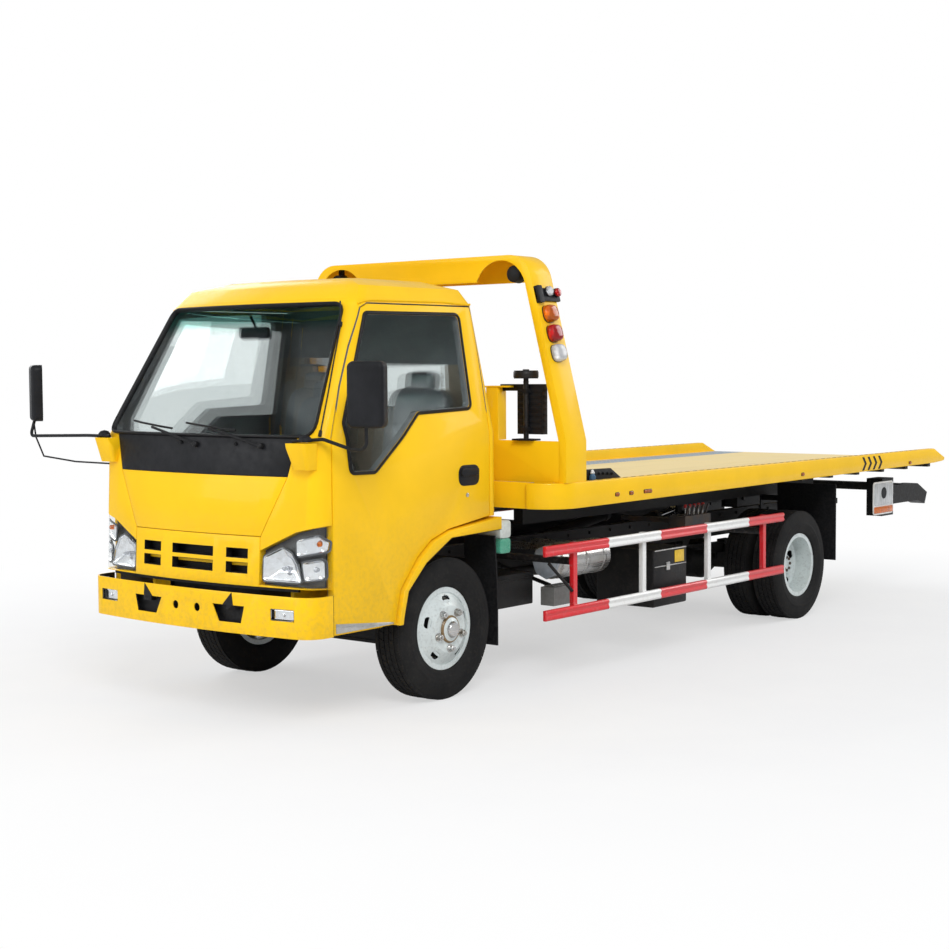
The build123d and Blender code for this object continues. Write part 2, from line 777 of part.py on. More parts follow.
door_side = front_prism([*DOOR_INNER, (900, 2175), (900, 400)], 900, -1300)
door_hole = side_prism(DOOR_OUTLINE, 400, 900) & door_side
door_cut = side_prism(grown(DOOR_OUTLINE, DOOR_GAP), 400, 900) & door_side.moved(Location((-DOOR_GAP, 0, 0)))
with BuildPart() as window_cut:
    with BuildSketch(side_plane(400)) as window_sketch:
        closed(WINDOW_OUTLINE)
        fillet(window_sketch.vertices(), 30)
    extrude(amount=500)
with BuildPart() as screen_cut:
    with BuildSketch(front_plane(-400)) as screen_sketch:
        closed(SCREEN_OUTLINE)
        fillet(screen_sketch.vertices(), 50)
    extrude(amount=900)

upper_split = block(-BIG, BIG, -BIG, BIG, ROOF_SPLIT, BIG)
rear_split = block(-BIG, BIG, REAR_WALL_FRONT, BIG, PLATFORM_Z, ROOF_SPLIT)

# doors
door_body = (wall & door_hole) - window_cut.part
glass_skin = cab_solid(GLASS_INSET) - cab_solid(GLASS_INSET + GLASS_T)
door_glass = glass_skin & window_cut.part
save(door_body, "door_left")
save(mirrored(door_body), "door_right")
save(door_glass, "door_glass_left")
save(mirrored(door_glass), "door_glass_right")

# roof
save(wall & upper_split, "cab_roof")

# rear wall, with its window
with BuildPart() as rear_cut:
    with BuildSketch(front_plane(BIG)) as rear_sketch:
        with Locations(((REAR_WINDOW[0] + REAR_WINDOW[1]) / 2, (REAR_WINDOW[2] + REAR_WINDOW[3]) / 2)):
            RectangleRounded(REAR_WINDOW[1] - REAR_WINDOW[0], REAR_WINDOW[3] - REAR_WINDOW[2], 60)
    extrude(amount=BIG)
save((wall & rear_split) - rear_cut.part, "cab_rear_wall")
rear_glass = glass_skin & rear_cut.part & block(-BIG, BIG, 200, BIG, 1400, 2100)

# front: everything ahead of the door line
ahead = block(-BIG, BIG, -BIG, REAR_WALL_FRONT, PANEL_BOTTOM, ROOF_SPLIT)
front_wall = (wall & ahead) - door_cut - mirrored(door_cut)
middle_outline = [*FRONT_SEAM, *[(-x, z) for x, z in FRONT_SEAM[::-1]]]
middle = front_prism(middle_outline, -700, -1400)
middle_gap = front_prism(grown(middle_outline, PANEL_GAP), -700, -1400)
lamp_prism = front_prism(LAMP_OUTLINE, -700, -1400)
lamp_gap = front_prism(grown(LAMP_OUTLINE, 2), -700, -1400)
below_screen = block(-BIG, BIG, -BIG, BIG, 0, SCREEN_BOTTOM - 8)
above_sill = block(-BIG, BIG, -BIG, BIG, SCREEN_BOTTOM - 8, ROOF_SPLIT)
side_frames = (front_wall & above_sill) - screen_cut.part
corner_left = ((front_wall & below_screen) - middle_gap - lamp_gap) & block(0, BIG, -BIG, -850, 0, BIG)


def mirror_ear():
    """The block on the corner that carries a mirror's arm."""
    with BuildPart() as body:
        with BuildSketch(Plane.XY.offset(1432)):
            with Locations((732, -1035)):
                RectangleRounded(150, 110, 24)
        with BuildSketch(Plane.XY.offset(1300)):
            with Locations((742, -1010)):
                RectangleRounded(110, 80, 20)
        loft(ruled=True)
    return body.part - inner


corner_left = corner_left + (mirror_ear() - middle_gap)
save(side_frames, "screen_frame")
middle_wall = (wall & below_screen & block(-BIG, BIG, -BIG, -700, PANEL_BOTTOM, BIG)) & middle
slots = Part()
for x0, x1, z0, z1 in GRILLE_SLOTS:
    slots += block(x0, x1, -1400, -900, z0, z1)
grille = (middle_wall & block(-BIG, BIG, -BIG, BIG, 0, GRILLE_TOP)) - slots
nose_panel = middle_wall & block(-BIG, BIG, -BIG, BIG, GRILLE_TOP + PANEL_GAP, COWL_BOTTOM)
save(Compound(children=[*grille.solids(), *nose_panel.solids(), *both_sides(corner_left).solids()]), "front_panels")
save(middle_wall & block(-BIG, BIG, -BIG, BIG, COWL_BOTTOM + 1, SCREEN_BOTTOM - 8), "cowl")
lamp_skin = cab_solid(2) - cab_solid(CAB_WALL + 24)
save(both_sides((lamp_skin & lamp_prism & block(0, BIG, -BIG, -932, 0, BIG))), "headlamps")
screen_glass = (cab_solid(8) - cab_solid(8 + GLASS_T + 1)) & screen_cut.part
save(Compound(children=[*screen_glass.solids(), *rear_glass.solids()]), "cab_glass")


# ---------------------------------------------------------------- cab floor, arches, steps


def cab_floor():
    with BuildPart() as body:
        with BuildSketch(side_plane(-FLOOR_HALF_W)):
            closed([
                (-930, FLOOR_Z), (RISER_Y, FLOOR_Z), (RISER_Y, PLATFORM_Z), (CAB_REAR - CAB_WALL, PLATFORM_Z),
                (CAB_REAR - CAB_WALL, PLATFORM_Z + FLOOR_T), (RISER_Y - RISER_T, PLATFORM_Z + FLOOR_T),
                (RISER_Y - RISER_T, FLOOR_Z + FLOOR_T), (-930, FLOOR_Z + FLOOR_T),
            ])
        extrude(amount=2 * FLOOR_HALF_W)
        # ears under the front edge, on the pins the cab tilts about
        for side in (-1, 1):
            with BuildSketch(side_plane(side * CAB_HINGE_X - 12)):
                with Locations(CAB_HINGE):
                    Circle(CAB_HINGE_R + 12)
                with Locations((CAB_HINGE[0], FLOOR_Z - 8)):
                    Rectangle(2 * CAB_HINGE_R + 24, 24)
                with Locations(CAB_HINGE):
                    Circle(CAB_HINGE_R + FIT, mode=Mode.SUBTRACT)
            extrude(amount=24)
    nose = block(-NOSE_HALF_W, NOSE_HALF_W, -1200, -930, FLOOR_Z, FLOOR_Z + FLOOR_T) & inner
    return body.part + nose


def wheel_arch():
    """Flare strip with its inner flange up to the platform."""
    with BuildPart() as body:
        with BuildSketch(side_plane(FLARE_X[0])):
            closed([*FLARE_TOP, *FLARE_LIP])
        extrude(amount=FLARE_X[1] - FLARE_X[0])
        with BuildSketch(side_plane(FLARE_X[0])):
            closed([*FLARE_LIP, *FLARE_TOP[:3], (RISER_Y + 40, 760), (RISER_Y + 40, PLATFORM_Z), (CAB_REAR - 45, PLATFORM_Z), FLARE_TOP[-1]])
        extrude(amount=FLOOR_HALF_W - FLARE_X[0])
    return body.part


def cab_step():
    """Tread behind the door's lower edge, hung from the floor."""
    with BuildPart() as body:
        with BuildSketch(front_plane(RISER_Y - 6)):
            closed([(520, FLOOR_Z), (520, STEP_Z), (786, STEP_Z), (786, STEP_Z + 26), (546, STEP_Z + 26), (546, FLOOR_Z)])
        extrude(amount=400)
        with BuildSketch(front_plane(RISER_Y)):
            closed([(520, FLOOR_Z), (520, STEP_Z), (786, STEP_Z), (786, FLOOR_Z)])
        extrude(amount=8)
    return body.part


floor = save(cab_floor(), "cab_floor")
save(both_sides(wheel_arch() + cab_step()), "wheel_arches")


# ---------------------------------------------------------------- inside the cab


def seat(x):
    with BuildPart() as body:
        with BuildSketch(side_plane(x - 240)) as side:
            closed([(-330, 1020), (150, 1020), (240, 1060), (330, 1560), (250, 1600), (150, 1200), (-340, 1190)])
            fillet(side.vertices(), 24)
        extrude(amount=480)
    with BuildPart() as head:
        with Locations((x, 300, 1680)):
            Box(260, 70, 180)
    return body.part + head.part


save(Compound(children=[seat(400), seat(-400)]), "seats")


def dashboard():
    with BuildPart() as body:
        with BuildSketch(side_plane(-760)):
            closed([(-1040, 1100), (-720, 1120), (-680, 1300), (-770, 1400), (-1040, 1430)])
        extrude(amount=1520)
    return body.part & inner


save(dashboard(), "dashboard")


def steering_wheel():
    hub = Plane(origin=STEERING_AT, x_dir=(1, 0, 0), z_dir=COLUMN_DIR)
    with BuildPart() as body:
        with BuildSketch(hub):
            Circle(40)
        extrude(amount=-30)
        with BuildSketch(hub.offset(-18)):
            for angle in (0, 120, 240):
                with Locations(Location((0, 0), angle + 90)):
                    with Locations((100, 0)):
                        Rectangle(190, 22)
        extrude(amount=10)
    with BuildPart() as ring:
        with BuildSketch(Plane(origin=STEERING_AT, x_dir=(1, 0, 0), z_dir=hub.y_dir)):
            with Locations((195, 0)):
                Circle(13)
        revolve(axis=Axis(STEERING_AT, COLUMN_DIR))
    return body.part + ring.part


save(steering_wheel(), "steering_wheel")


# ---------------------------------------------------------------- bumper and front lamps


def bumper_outline(inset):
    """Plan of the bumper, drawn in by inset; the back stays open."""
    w = BUMPER_HALF_W - inset
    mid, side = BUMPER_FRONT + inset, BUMPER_SIDE_FRONT + inset
    with BuildSketch(Plane.XY.offset(BUMPER_Z[0])) as plan:
        with BuildLine():
            ThreePointArc((-w, side), (0, mid), (w, side))
            Polyline((w, side), (w, BUMPER_REAR), (-w, BUMPER_REAR), (-w, side))
        make_face()
        corners = plan.vertices().filter_by(lambda v: v.Y < (side + BUMPER_REAR) / 2)
        fillet(corners, BUMPER_CORNER - inset)
    return plan.sketch


def bumper():
    height = BUMPER_Z[1] - BUMPER_Z[0]
    with BuildPart() as body:
        add(bumper_outline(0))
        extrude(amount=height)
        add(bumper_outline(BUMPER_WALL))
        extrude(amount=height, mode=Mode.SUBTRACT)
        for way in (-1, 1):
            with BuildSketch(front_plane(-1000)):
                closed([(way * x, z) for x, z in INTAKE])
                with Locations((way * TOW_HOLE[0], TOW_HOLE[1])):
                    Circle(TOW_HOLE[2])
                with Locations((way * FOG[0], FOG[1])):
                    Rectangle(FOG[2], FOG[3])
            extrude(amount=300, mode=Mode.SUBTRACT)
        # brackets back to the frame's front ends
        for way in (-1, 1):
            with Locations((way * (FRAME_HALF_W - 30), (FRAME_FRONT + BUMPER_FRONT) / 2 + 8, 605)):
                Box(60, FRAME_FRONT - BUMPER_FRONT - 16, 50)
    return body.part


def fog_lamps():
    """Each lamp fills its opening and is held by the bumper's wall."""
    with BuildPart() as body:
        with BuildSketch(front_plane(-1000)):
            with Locations((FOG[0], FOG[1])):
                Rectangle(FOG[2], FOG[3])
        extrude(amount=300)
    with BuildPart() as shell:
        add(bumper_outline(4))
        extrude(amount=300)
        add(bumper_outline(50))
        extrude(amount=300, mode=Mode.SUBTRACT)
    return body.part & shell.part


save(bumper(), "bumper")
save(both_sides(fog_lamps()), "fog_lamps")


# ---------------------------------------------------------------- side equipment


def side_guard():
    """Two folded rails on four posts, carried by arms from the frame rail."""
    with BuildPart() as body:
        for z in GUARD_Z:
            h = GUARD_RAIL_H / 2
            with BuildSketch(front_plane(GUARD_Y[1])):
                closed([
                    (GUARD_X - GUARD_T, z - h), (GUARD_X - 8, z - h), (GUARD_X, z - h + 12), (GUARD_X - 8, z),
                    (GUARD_X, z + h - 12), (GUARD_X - 8, z + h), (GUARD_X - GUARD_T, z + h),
                ])
            extrude(amount=GUARD_Y[1] - GUARD_Y[0])
        for y in GUARD_POSTS:
            with Locations((GUARD_X - GUARD_T - 15, y, (GUARD_Z[0] + GUARD_Z[1]) / 2)):
                Box(30, GUARD_POST_W, GUARD_Z[1] - GUARD_Z[0] + GUARD_RAIL_H)
        for y in (GUARD_POSTS[0], GUARD_POSTS[3]):
            with Locations(((FRAME_HALF_W + GUARD_X - GUARD_T) / 2 - 7, y, GUARD_ARM_Z)):
                Box(GUARD_X - GUARD_T - FRAME_HALF_W - 14, 40, 40)
    return body.part


save(both_sides(side_guard()), "side_guards")


def silencer():
    x, z, r, y0, y1 = SILENCER
    with BuildPart() as body:
        with BuildSketch(front_plane(y1)):
            with Locations((x, z)):
                Circle(r)
        extrude(amount=y1 - y0 - 40)
        with BuildSketch(front_plane(y0 + 40)):
            with Locations((x, z)):
                RegularPolygon(r - 2, 8)
        extrude(amount=40)
        with Locations(((FRAME_HALF_W + x) / 2, y0 + 160, z + 70)):
            Box(x - FRAME_HALF_W, 50, 40)
        with Locations(((FRAME_HALF_W + x) / 2, y1 - 160, z + 70)):
            Box(x - FRAME_HALF_W, 50, 40)
    return body.part


save(silencer(), "silencer")


def frame_box(x0, x1, y0, y1, z0, z1, corner):
    """A box hung beside the frame on two arms."""
    way = 1 if x0 > 0 else -1
    near = x0 if way > 0 else x1
    with BuildPart() as body:
        with BuildSketch(front_plane(y1)):
            with Locations(((x0 + x1) / 2, (z0 + z1) / 2)):
                RectangleRounded(x1 - x0, z1 - z0, corner)
        extrude(amount=y1 - y0)
        for y in (y0 + 80, y1 - 80):
            with Locations(((way * FRAME_HALF_W + near) / 2 + way * 20, y, z1 - 60)):
                Box(abs(near) - FRAME_HALF_W + 40, 50, 50)
    return body.part


save(frame_box(*TOOL_BOX, 12), "tool_box")
save(frame_box(*FUEL_TANK, 70), "fuel_tank")


def valve_block():
    """Spool valves with their levers, beside the frame."""
    with BuildPart() as body:
        with Locations((FRAME_HALF_W + 230, 2420, 800)):
            Box(460, 60, 30)
        with Locations((870, 2420, 800)):
            Box(120, 320, 90)
        for i in range(5):
            with Locations(Location((920, 2300 + 60 * i, 870), (0, 20, 0))):
                Box(10, 12, 90)
    return body.part


save(valve_block(), "valve_block")


def rear_mudguard():
    """Flap hung behind the twin wheels from an arm on the frame."""
    with BuildPart() as body:
        with Locations((740, WHEELBASE + 480, 660)):
            Box(480, 10, 560)
        with Locations((FRAME_HALF_W + 315, WHEELBASE + 495, 820)):
            Box(630, 20, 40)
        with Locations((FRAME_HALF_W + 5, WHEELBASE + 495, 765)):
            Box(10, 40, 150)
    return body.part


def front_flap():
    with BuildPart() as body:
        with BuildSketch(side_plane(575)):
            closed([(452, 235), (462, 235), (462, 560), (440, 860), (430, 860), (452, 560)])
        extrude(amount=225)
        with Locations((FRAME_HALF_W + 115, 455, 700)):
            Box(230, 14, 40)
    return body.part


save(Compound(children=[*both_sides(rear_mudguard()).solids(), *both_sides(front_flap()).solids()]), "mud_flaps")


# ---------------------------------------------------------------- mirrors


def bent_tube(points, bends, radius):
    with BuildPart() as body:
        with BuildLine() as path:
            FilletPolyline(*points, radius=bends)
        with BuildSketch(Plane(origin=path.line @ 0, z_dir=path.line % 0)):
            Circle(radius)
        sweep()
    return body.part


def mirror_head(x, z, turn):
    """A head about its arm's upright end, its glass turned by so many degrees towards the driver."""
    with BuildPart() as head:
        with BuildSketch(front_plane(31)):
            RectangleRounded(MIRROR_W, MIRROR_H, 34)
        extrude(amount=62)
        fillet(head.faces().sort_by(Axis.Y)[0].edges(), 22)
    return Pos(x, MIRROR_Y, z) * Rot(0, 0, turn) * head.part


def mirror_left():
    arm = bent_tube(
        [(700, -1060, 1441), (845, -990, 1452), (985, -940, 1404), (1085, -940, 1404), (1085, -940, 1530)],
        40, 9,
    )
    return (arm + mirror_head(1085, 1672, 18)).solid()


def mirror_right():
    arm = bent_tube([(-700, -1060, 1441), (-900, -1050, 1441), (-1500, -990, 1425), (-1515, -940, 1540)], 40, 9)
    return (arm + mirror_head(-1515, 1672, -32)).solid()


save(Compound(children=[mirror_left(), mirror_right()]), "mirrors")


# ---------------------------------------------------------------- bed


def bed_rail():
    """Side rail; its underside rises and its tail is chamfered to the tip."""
    with BuildPart() as body:
        with BuildSketch(side_plane(BED_HALF_W - RAIL_W)):
            closed([
                (BED_FRONT + BED_CORNER, RAIL_BOTTOM), (5790, RAIL_BOTTOM_TAIL), (BED_TAIL - 20, RAIL_BOTTOM_TAIL + 10),
                (BED_TAIL, 1070), (5790, RAIL_TOP), (BED_FRONT + BED_CORNER, RAIL_TOP),
            ])
        extrude(amount=RAIL_W)
        with BuildSketch(Plane.XY.offset(RAIL_BOTTOM)):
            x, y = BED_HALF_W - BED_CORNER, BED_FRONT + BED_CORNER
            with BuildLine():
                CenterArc((x, y), BED_CORNER, -90, 90)
                Line((BED_HALF_W, y), (BED_HALF_W - RAIL_W, y))
                CenterArc((x, y), BED_CORNER - RAIL_W, 0, -90)
                Line((x, BED_FRONT + RAIL_W), (x, BED_FRONT))
            make_face()
        extrude(amount=RAIL_TOP - RAIL_BOTTOM)
    return body.part


save(both_sides(bed_rail()), "bed_rails")


def bed_deck():
    """Deck plate with its ribs and the two beams it slides on, and the front beam between the corners."""
    inner = BED_HALF_W - RAIL_W
    with BuildPart() as body:
        with BuildSketch(Plane.XY.offset(DECK_Z - DECK_T)):
            x, y, r = BED_HALF_W - BED_CORNER, BED_FRONT + BED_CORNER, BED_CORNER - RAIL_W
            with BuildLine():
                CenterArc((x, y), r, 0, -90)
                Line((x, BED_FRONT + RAIL_W), (-x, BED_FRONT + RAIL_W))
                CenterArc((-x, y), r, -90, -90)
                Polyline((-inner, y), (-inner, BED_TAIL - 40), (inner, BED_TAIL - 40), (inner, y))
            make_face()
        extrude(amount=DECK_T)
        y = BED_FRONT + 60
        with Locations((0, BED_FRONT + FRONT_BEAM_SETBACK + RAIL_W / 2, (RAIL_BOTTOM + RAIL_TOP) / 2)):
            Box(2 * (BED_HALF_W - BED_CORNER), RAIL_W, RAIL_TOP - RAIL_BOTTOM)
        while y < BED_TAIL - 500:
            y += RIB_PITCH
            with Locations((0, y, DECK_Z - DECK_T - RIB_H / 2)):
                Box(2 * inner, RIB_L, RIB_H)
        for side in (-1, 1):
            with Locations((side * BEAM_X, (BED_FRONT + 60 + 5700) / 2, DECK_Z - DECK_T - BEAM_H / 2)):
                Box(BEAM_W, 5700 - BED_FRONT - 60, BEAM_H)
        with Locations((0, SLIDE_LUG_Y, (DECK_Z - DECK_T + SLIDE_Z - SLIDE_ROD_R) / 2)):
            Box(50, 40, DECK_Z - DECK_T - SLIDE_Z + SLIDE_ROD_R)
        with BuildSketch(front_plane(SLIDE_LUG_Y)):
            with Locations((0, SLIDE_Z)):
                Circle(SLIDE_ROD_R)
        extrude(amount=SLIDE_LUG_Y - SLIDE_Y[0] - 140)
    return body.part


save(bed_deck(), "bed_deck")


def leg_outer(z):
    """Outer face of the arch's leg at a height: upright to the headboard's top, then leaning in."""
    if z <= BOARD_TOP:
        return ARCH_FOOT_X
    return ARCH_FOOT_X - (ARCH_FOOT_X - ARCH_TOP_X) * (z - BOARD_TOP) / (ARCH_TOP - BOARD_TOP)


def leg_inner(z):
    return leg_outer(z) - ARCH_LEG_W


def both_legs(side):
    """An outline from points (x, z) up one leg, closed over the middle."""
    return [*side, *[(-x, z) for x, z in side[::-1]]]


def arch():
    """Folded channel: an outer plate between a front and a rear plate, open towards the middle."""
    front, rear = ARCH_Y
    under_beam = ARCH_TOP - ARCH_BEAM_H
    inner = [(leg_inner(z), z) for z in (RAIL_TOP, BOARD_TOP)]
    corner = (leg_inner(under_beam), under_beam)
    gusset = [(leg_inner(under_beam - ARCH_GUSSET), under_beam - ARCH_GUSSET), (corner[0] - ARCH_GUSSET, under_beam)]
    with BuildPart() as body:
        with BuildSketch(front_plane(rear)) as face:
            closed(both_legs([(ARCH_FOOT_X, RAIL_TOP), (ARCH_FOOT_X, BOARD_TOP), (ARCH_TOP_X, ARCH_TOP)]))
            fillet(face.vertices().group_by(Axis.Y)[-1], ARCH_CORNER)
            Polygon(*both_legs([*inner, *gusset]), align=None, mode=Mode.SUBTRACT)
        extrude(amount=rear - front)
        with BuildSketch(front_plane(rear - ARCH_WALL)) as hollow:
            long_legs = both_legs([(ARCH_FOOT_X, RAIL_TOP - 100), (ARCH_FOOT_X, BOARD_TOP), (ARCH_TOP_X, ARCH_TOP)])
            closed(grown(long_legs, -ARCH_WALL))
            fillet(hollow.vertices().group_by(Axis.Y)[-1], ARCH_CORNER - ARCH_WALL)
        extrude(amount=rear - front - 2 * ARCH_WALL, mode=Mode.SUBTRACT)
        with BuildSketch(front_plane(front + ARCH_WALL)):
            closed(both_legs([*inner, corner]))
            with Locations((ARCH_NOTCH[0], ARCH_NOTCH[1]), (-ARCH_NOTCH[0], ARCH_NOTCH[1])):
                Circle(ARCH_NOTCH[2])
        extrude(amount=ARCH_WALL, mode=Mode.SUBTRACT)
    return body.part


arch_body = save(arch(), "arch")


def leg_plane(y, z):
    """On the outer face of the left leg, looking away from it; sketches in it read (y, up the leg)."""
    lean = (ARCH_FOOT_X - ARCH_TOP_X) / (ARCH_TOP - BOARD_TOP)
    return Plane(origin=(leg_outer(z), y, z), x_dir=(0, 1, 0), z_dir=(1, 0, lean))


def arch_lamps():
    """Three signal lamps and a bracket on the leg, and the work lamp in the arch's corner."""
    width, height, corner, depth = LAMP_SIZE
    pieces = []
    for z in LAMP_HEIGHTS:
        with BuildPart() as lamp:
            with BuildSketch(leg_plane(LAMP_Y, z)):
                RectangleRounded(width, height, corner)
            extrude(amount=depth, taper=6)
        pieces.append(lamp.part)
    y0, y1, z, h, d = LAMP_BRACKET
    with BuildPart() as bracket:
        with BuildSketch(leg_plane((y0 + y1) / 2, z)):
            Rectangle(y1 - y0, h)
        extrude(amount=d)
        with BuildSketch(leg_plane(y0, z)):
            with Locations((24, 0)):
                Rectangle(48, h + 24)
        extrude(amount=d + 14)
        for y, height, r in BRACKET_LAMPS:
            with BuildSketch(leg_plane(y, height)):
                Circle(r)
            extrude(amount=d + 26)
    pieces.append(bracket.part)
    x, z, r, y, d = WORK_LAMP
    with BuildPart() as lamp:
        with BuildSketch(front_plane(y + d)):
            with Locations((x, z)):
                Circle(r)
        extrude(amount=d, taper=-4)
        with Locations((x, y + d - 15, (z + ARCH_TOP - ARCH_WALL) / 2)):
            Box(30, 24, ARCH_TOP - ARCH_WALL - z)
    pieces.append(lamp.part - arch_body)
    return Compound(children=pieces)


save(both_sides(arch_lamps()), "arch_lamps")


def headboard():
    with BuildPart() as body:
        foot, top = BOARD_FOOT_X, leg_inner(BOARD_TOP)
        with BuildSketch(front_plane(ARCH_Y[0] + 12)):
            closed([
                (-foot, DECK_Z), (foot, DECK_Z), (foot, RAIL_TOP), (top, RAIL_TOP),
                (top, BOARD_TOP), (-top, BOARD_TOP), (-top, RAIL_TOP), (-foot, RAIL_TOP),
            ])
        extrude(amount=12)
        with Locations(((POST[0] + POST[1]) / 2, ARCH_Y[0] + 40, (BOARD_TOP + POST[2]) / 2)):
            Box(POST[1] - POST[0], 80, POST[2] - BOARD_TOP)
    return body.part


def hand_screw():
    """Upright screw with its wheel and foot, and the block that it holds against the post."""
    x, y, r = HAND_SCREW
    x0, x1, y0, y1, z0, z1 = HAND_SCREW_BOX
    with BuildPart() as body:
        add(rod_between((x, y, BOARD_TOP), (x, y, HAND_SCREW_TOP), r))
        add(block(x - 70, x + 70, y - 45, y + 45, BOARD_TOP, BOARD_TOP + 10))
        add(rod_between((x, y, HAND_SCREW_TOP - HAND_WHEEL[1]), (x, y, HAND_SCREW_TOP), HAND_WHEEL[0]))
        add(block(x0, x1, y0, y1, z0, z1))
        for z in (z0 + 30, z1 - 30):
            add(block(x - 20, x + 20, y - r - 6, y0, z - 12, z + 12))
        add(block(POST[1], x0, y0 + 10, y0 + 40, z1 - 30, z1))
    return body.part


save(hand_screw(), "hand_screw")
save(headboard(), "headboard")


# ---------------------------------------------------------------- winch


def winch_frame():
    with BuildPart() as body:
        for side in (-1, 1):
            with BuildSketch(side_plane(side * (DRUM_HALF + 14) - 8)):
                closed([(WINCH[1] - 110, DECK_Z), (WINCH[1] + 110, DECK_Z), (WINCH[1] + 80, 1290), (WINCH[1] - 80, 1290)])
                with Locations((WINCH[1], WINCH[2])):
                    Circle(20 + FIT, mode=Mode.SUBTRACT)
            extrude(amount=16)
        with Locations((0, WINCH[1] - 100, DECK_Z + 10)):
            Box(2 * DRUM_HALF + 30, 40, 20)
        with Locations((-DRUM_HALF - 90, WINCH[1], WINCH[2])):
            Box(130, 120, 120)
    return body.part


def winch_drum():
    x, y, z = WINCH
    with BuildPart() as body:
        with BuildSketch(Plane(origin=(0, y, z), x_dir=(1, 0, 0), z_dir=(0, -1, 0))):
            closed([
                (-DRUM_HALF - 20, 0), (-DRUM_HALF - 20, 20), (-DRUM_HALF, 20), (-DRUM_HALF, 92), (-DRUM_HALF + 10, 92),
                (-DRUM_HALF + 10, 66), (DRUM_HALF - 10, 66), (DRUM_HALF - 10, 92), (DRUM_HALF, 92), (DRUM_HALF, 20),
                (DRUM_HALF + 30, 20), (DRUM_HALF + 30, 0),
            ])
        revolve(axis=Axis((0, y, z), (1, 0, 0)))
    return body.part


save(winch_frame(), "winch_frame")
save(winch_drum(), "winch_drum")


# ---------------------------------------------------------------- tilt frame, its cylinders and the slide cylinder


def tilt_frame():
    z0, z1 = TILT_FRAME_Z
    with BuildPart() as body:
        for side in (-1, 1):
            with Locations((side * BEAM_X, sum(TILT_FRAME_Y) / 2, (z0 + z1) / 2)):
                Box(TILT_BEAM_W, TILT_FRAME_Y[1] - TILT_FRAME_Y[0], z1 - z0)
            for y in PAD_Y:
                with Locations((side * BEAM_X, y, z1 + PAD_T / 2)):
                    Box(TILT_BEAM_W, 120, PAD_T)
            # hinge ear and pin
            with BuildSketch(side_plane(side * (HINGE_CHEEK_X + 29) - 12)):
                with Locations(TILT_HINGE):
                    Circle(44)
                with Locations((TILT_HINGE[0], z0 + 10)):
                    Rectangle(80, 40)
                with Locations(TILT_HINGE):
                    Circle(HINGE_PIN_R + FIT, mode=Mode.SUBTRACT)
            extrude(amount=24)
            for x in (CYL_X - CYL_EYE_W / 2 - 16, CYL_X + CYL_EYE_W / 2 + 6):
                with BuildSketch(side_plane(side * (x + 5) - 5)):
                    closed([
                        (CYL_HEAD[0] - 60, z1 - 18), (CYL_HEAD[0] + 60, z1 - 18),
                        (CYL_HEAD[0] + 26, CYL_HEAD[1] - 24), (CYL_HEAD[0] - 26, CYL_HEAD[1] - 24),
                    ])
                extrude(amount=10)
            with BuildSketch(side_plane(side * CYL_X - CYL_EYE_W / 2 - 10)):
                with Locations(CYL_HEAD):
                    Circle(HEAD_PIN_R)
            extrude(amount=CYL_EYE_W + 20)
        for y in (TILT_FRAME_Y[0] + 50, 2300, CYL_HEAD[0], 4560, 4940):
            low = z1 - 40 if y == CYL_HEAD[0] else z0
            high = z1 - 10 if y == CYL_HEAD[0] else z0 + 16
            with Locations((0, y, (low + high) / 2)):
                Box(2 * BEAM_X, 80, high - low)
        # slide cylinder's barrel on its two saddles
        for y in (2300, 4560):
            with Locations((0, y, (z0 + SLIDE_Z) / 2)):
                Box(2 * SLIDE_R, 60, SLIDE_Z - z0)
        with BuildSketch(front_plane(SLIDE_Y[1])):
            with Locations((0, SLIDE_Z)):
                Circle(SLIDE_R)
        extrude(amount=SLIDE_Y[1] - SLIDE_Y[0])
        with BuildSketch(front_plane(SLIDE_Y[1])):
            with Locations((0, SLIDE_Z)):
                Circle(SLIDE_ROD_R + FIT)
        extrude(amount=SLIDE_Y[1] - SLIDE_Y[0] - 60, mode=Mode.SUBTRACT)
        # plates that hold the under-lift's tube
        for y in (4560, 4940):
            for side in (-1, 1):
                with Locations((side * (LIFT_TUBE[0] / 2 + 6), y, (z0 + LIFT_Z) / 2)):
                    Box(12, 80, z0 - LIFT_Z)
    return body.part


def beyond(start, end, distance):
    """The point that lies distance from start towards end; both are (y, z)."""
    dy, dz = end[0] - start[0], end[1] - start[1]
    length = sqrt(dy * dy + dz * dz)
    return start[0] + dy * distance / length, start[1] + dz * distance / length


def tilt_barrel():
    near = beyond(CYL_FOOT, CYL_HEAD, 36)
    mouth = beyond(CYL_FOOT, CYL_HEAD, CYL_BARREL_L)
    with BuildPart() as body:
        add(rod_between((CYL_X, *near), (CYL_X, *mouth), CYL_R))
        with BuildSketch(side_plane(CYL_X - CYL_EYE_W / 2)):
            with Locations(CYL_FOOT):
                Circle(40)
        extrude(amount=CYL_EYE_W)
        bore_from = beyond(CYL_FOOT, CYL_HEAD, 120)
        add(rod_between((CYL_X, *bore_from), (CYL_X, *mouth), CYL_ROD_R + FIT), mode=Mode.SUBTRACT)
        with BuildSketch(side_plane(CYL_X - CYL_EYE_W)):
            with Locations(CYL_FOOT):
                Circle(CYL_PIN_R + FIT)
        extrude(amount=2 * CYL_EYE_W, mode=Mode.SUBTRACT)
    return body.part


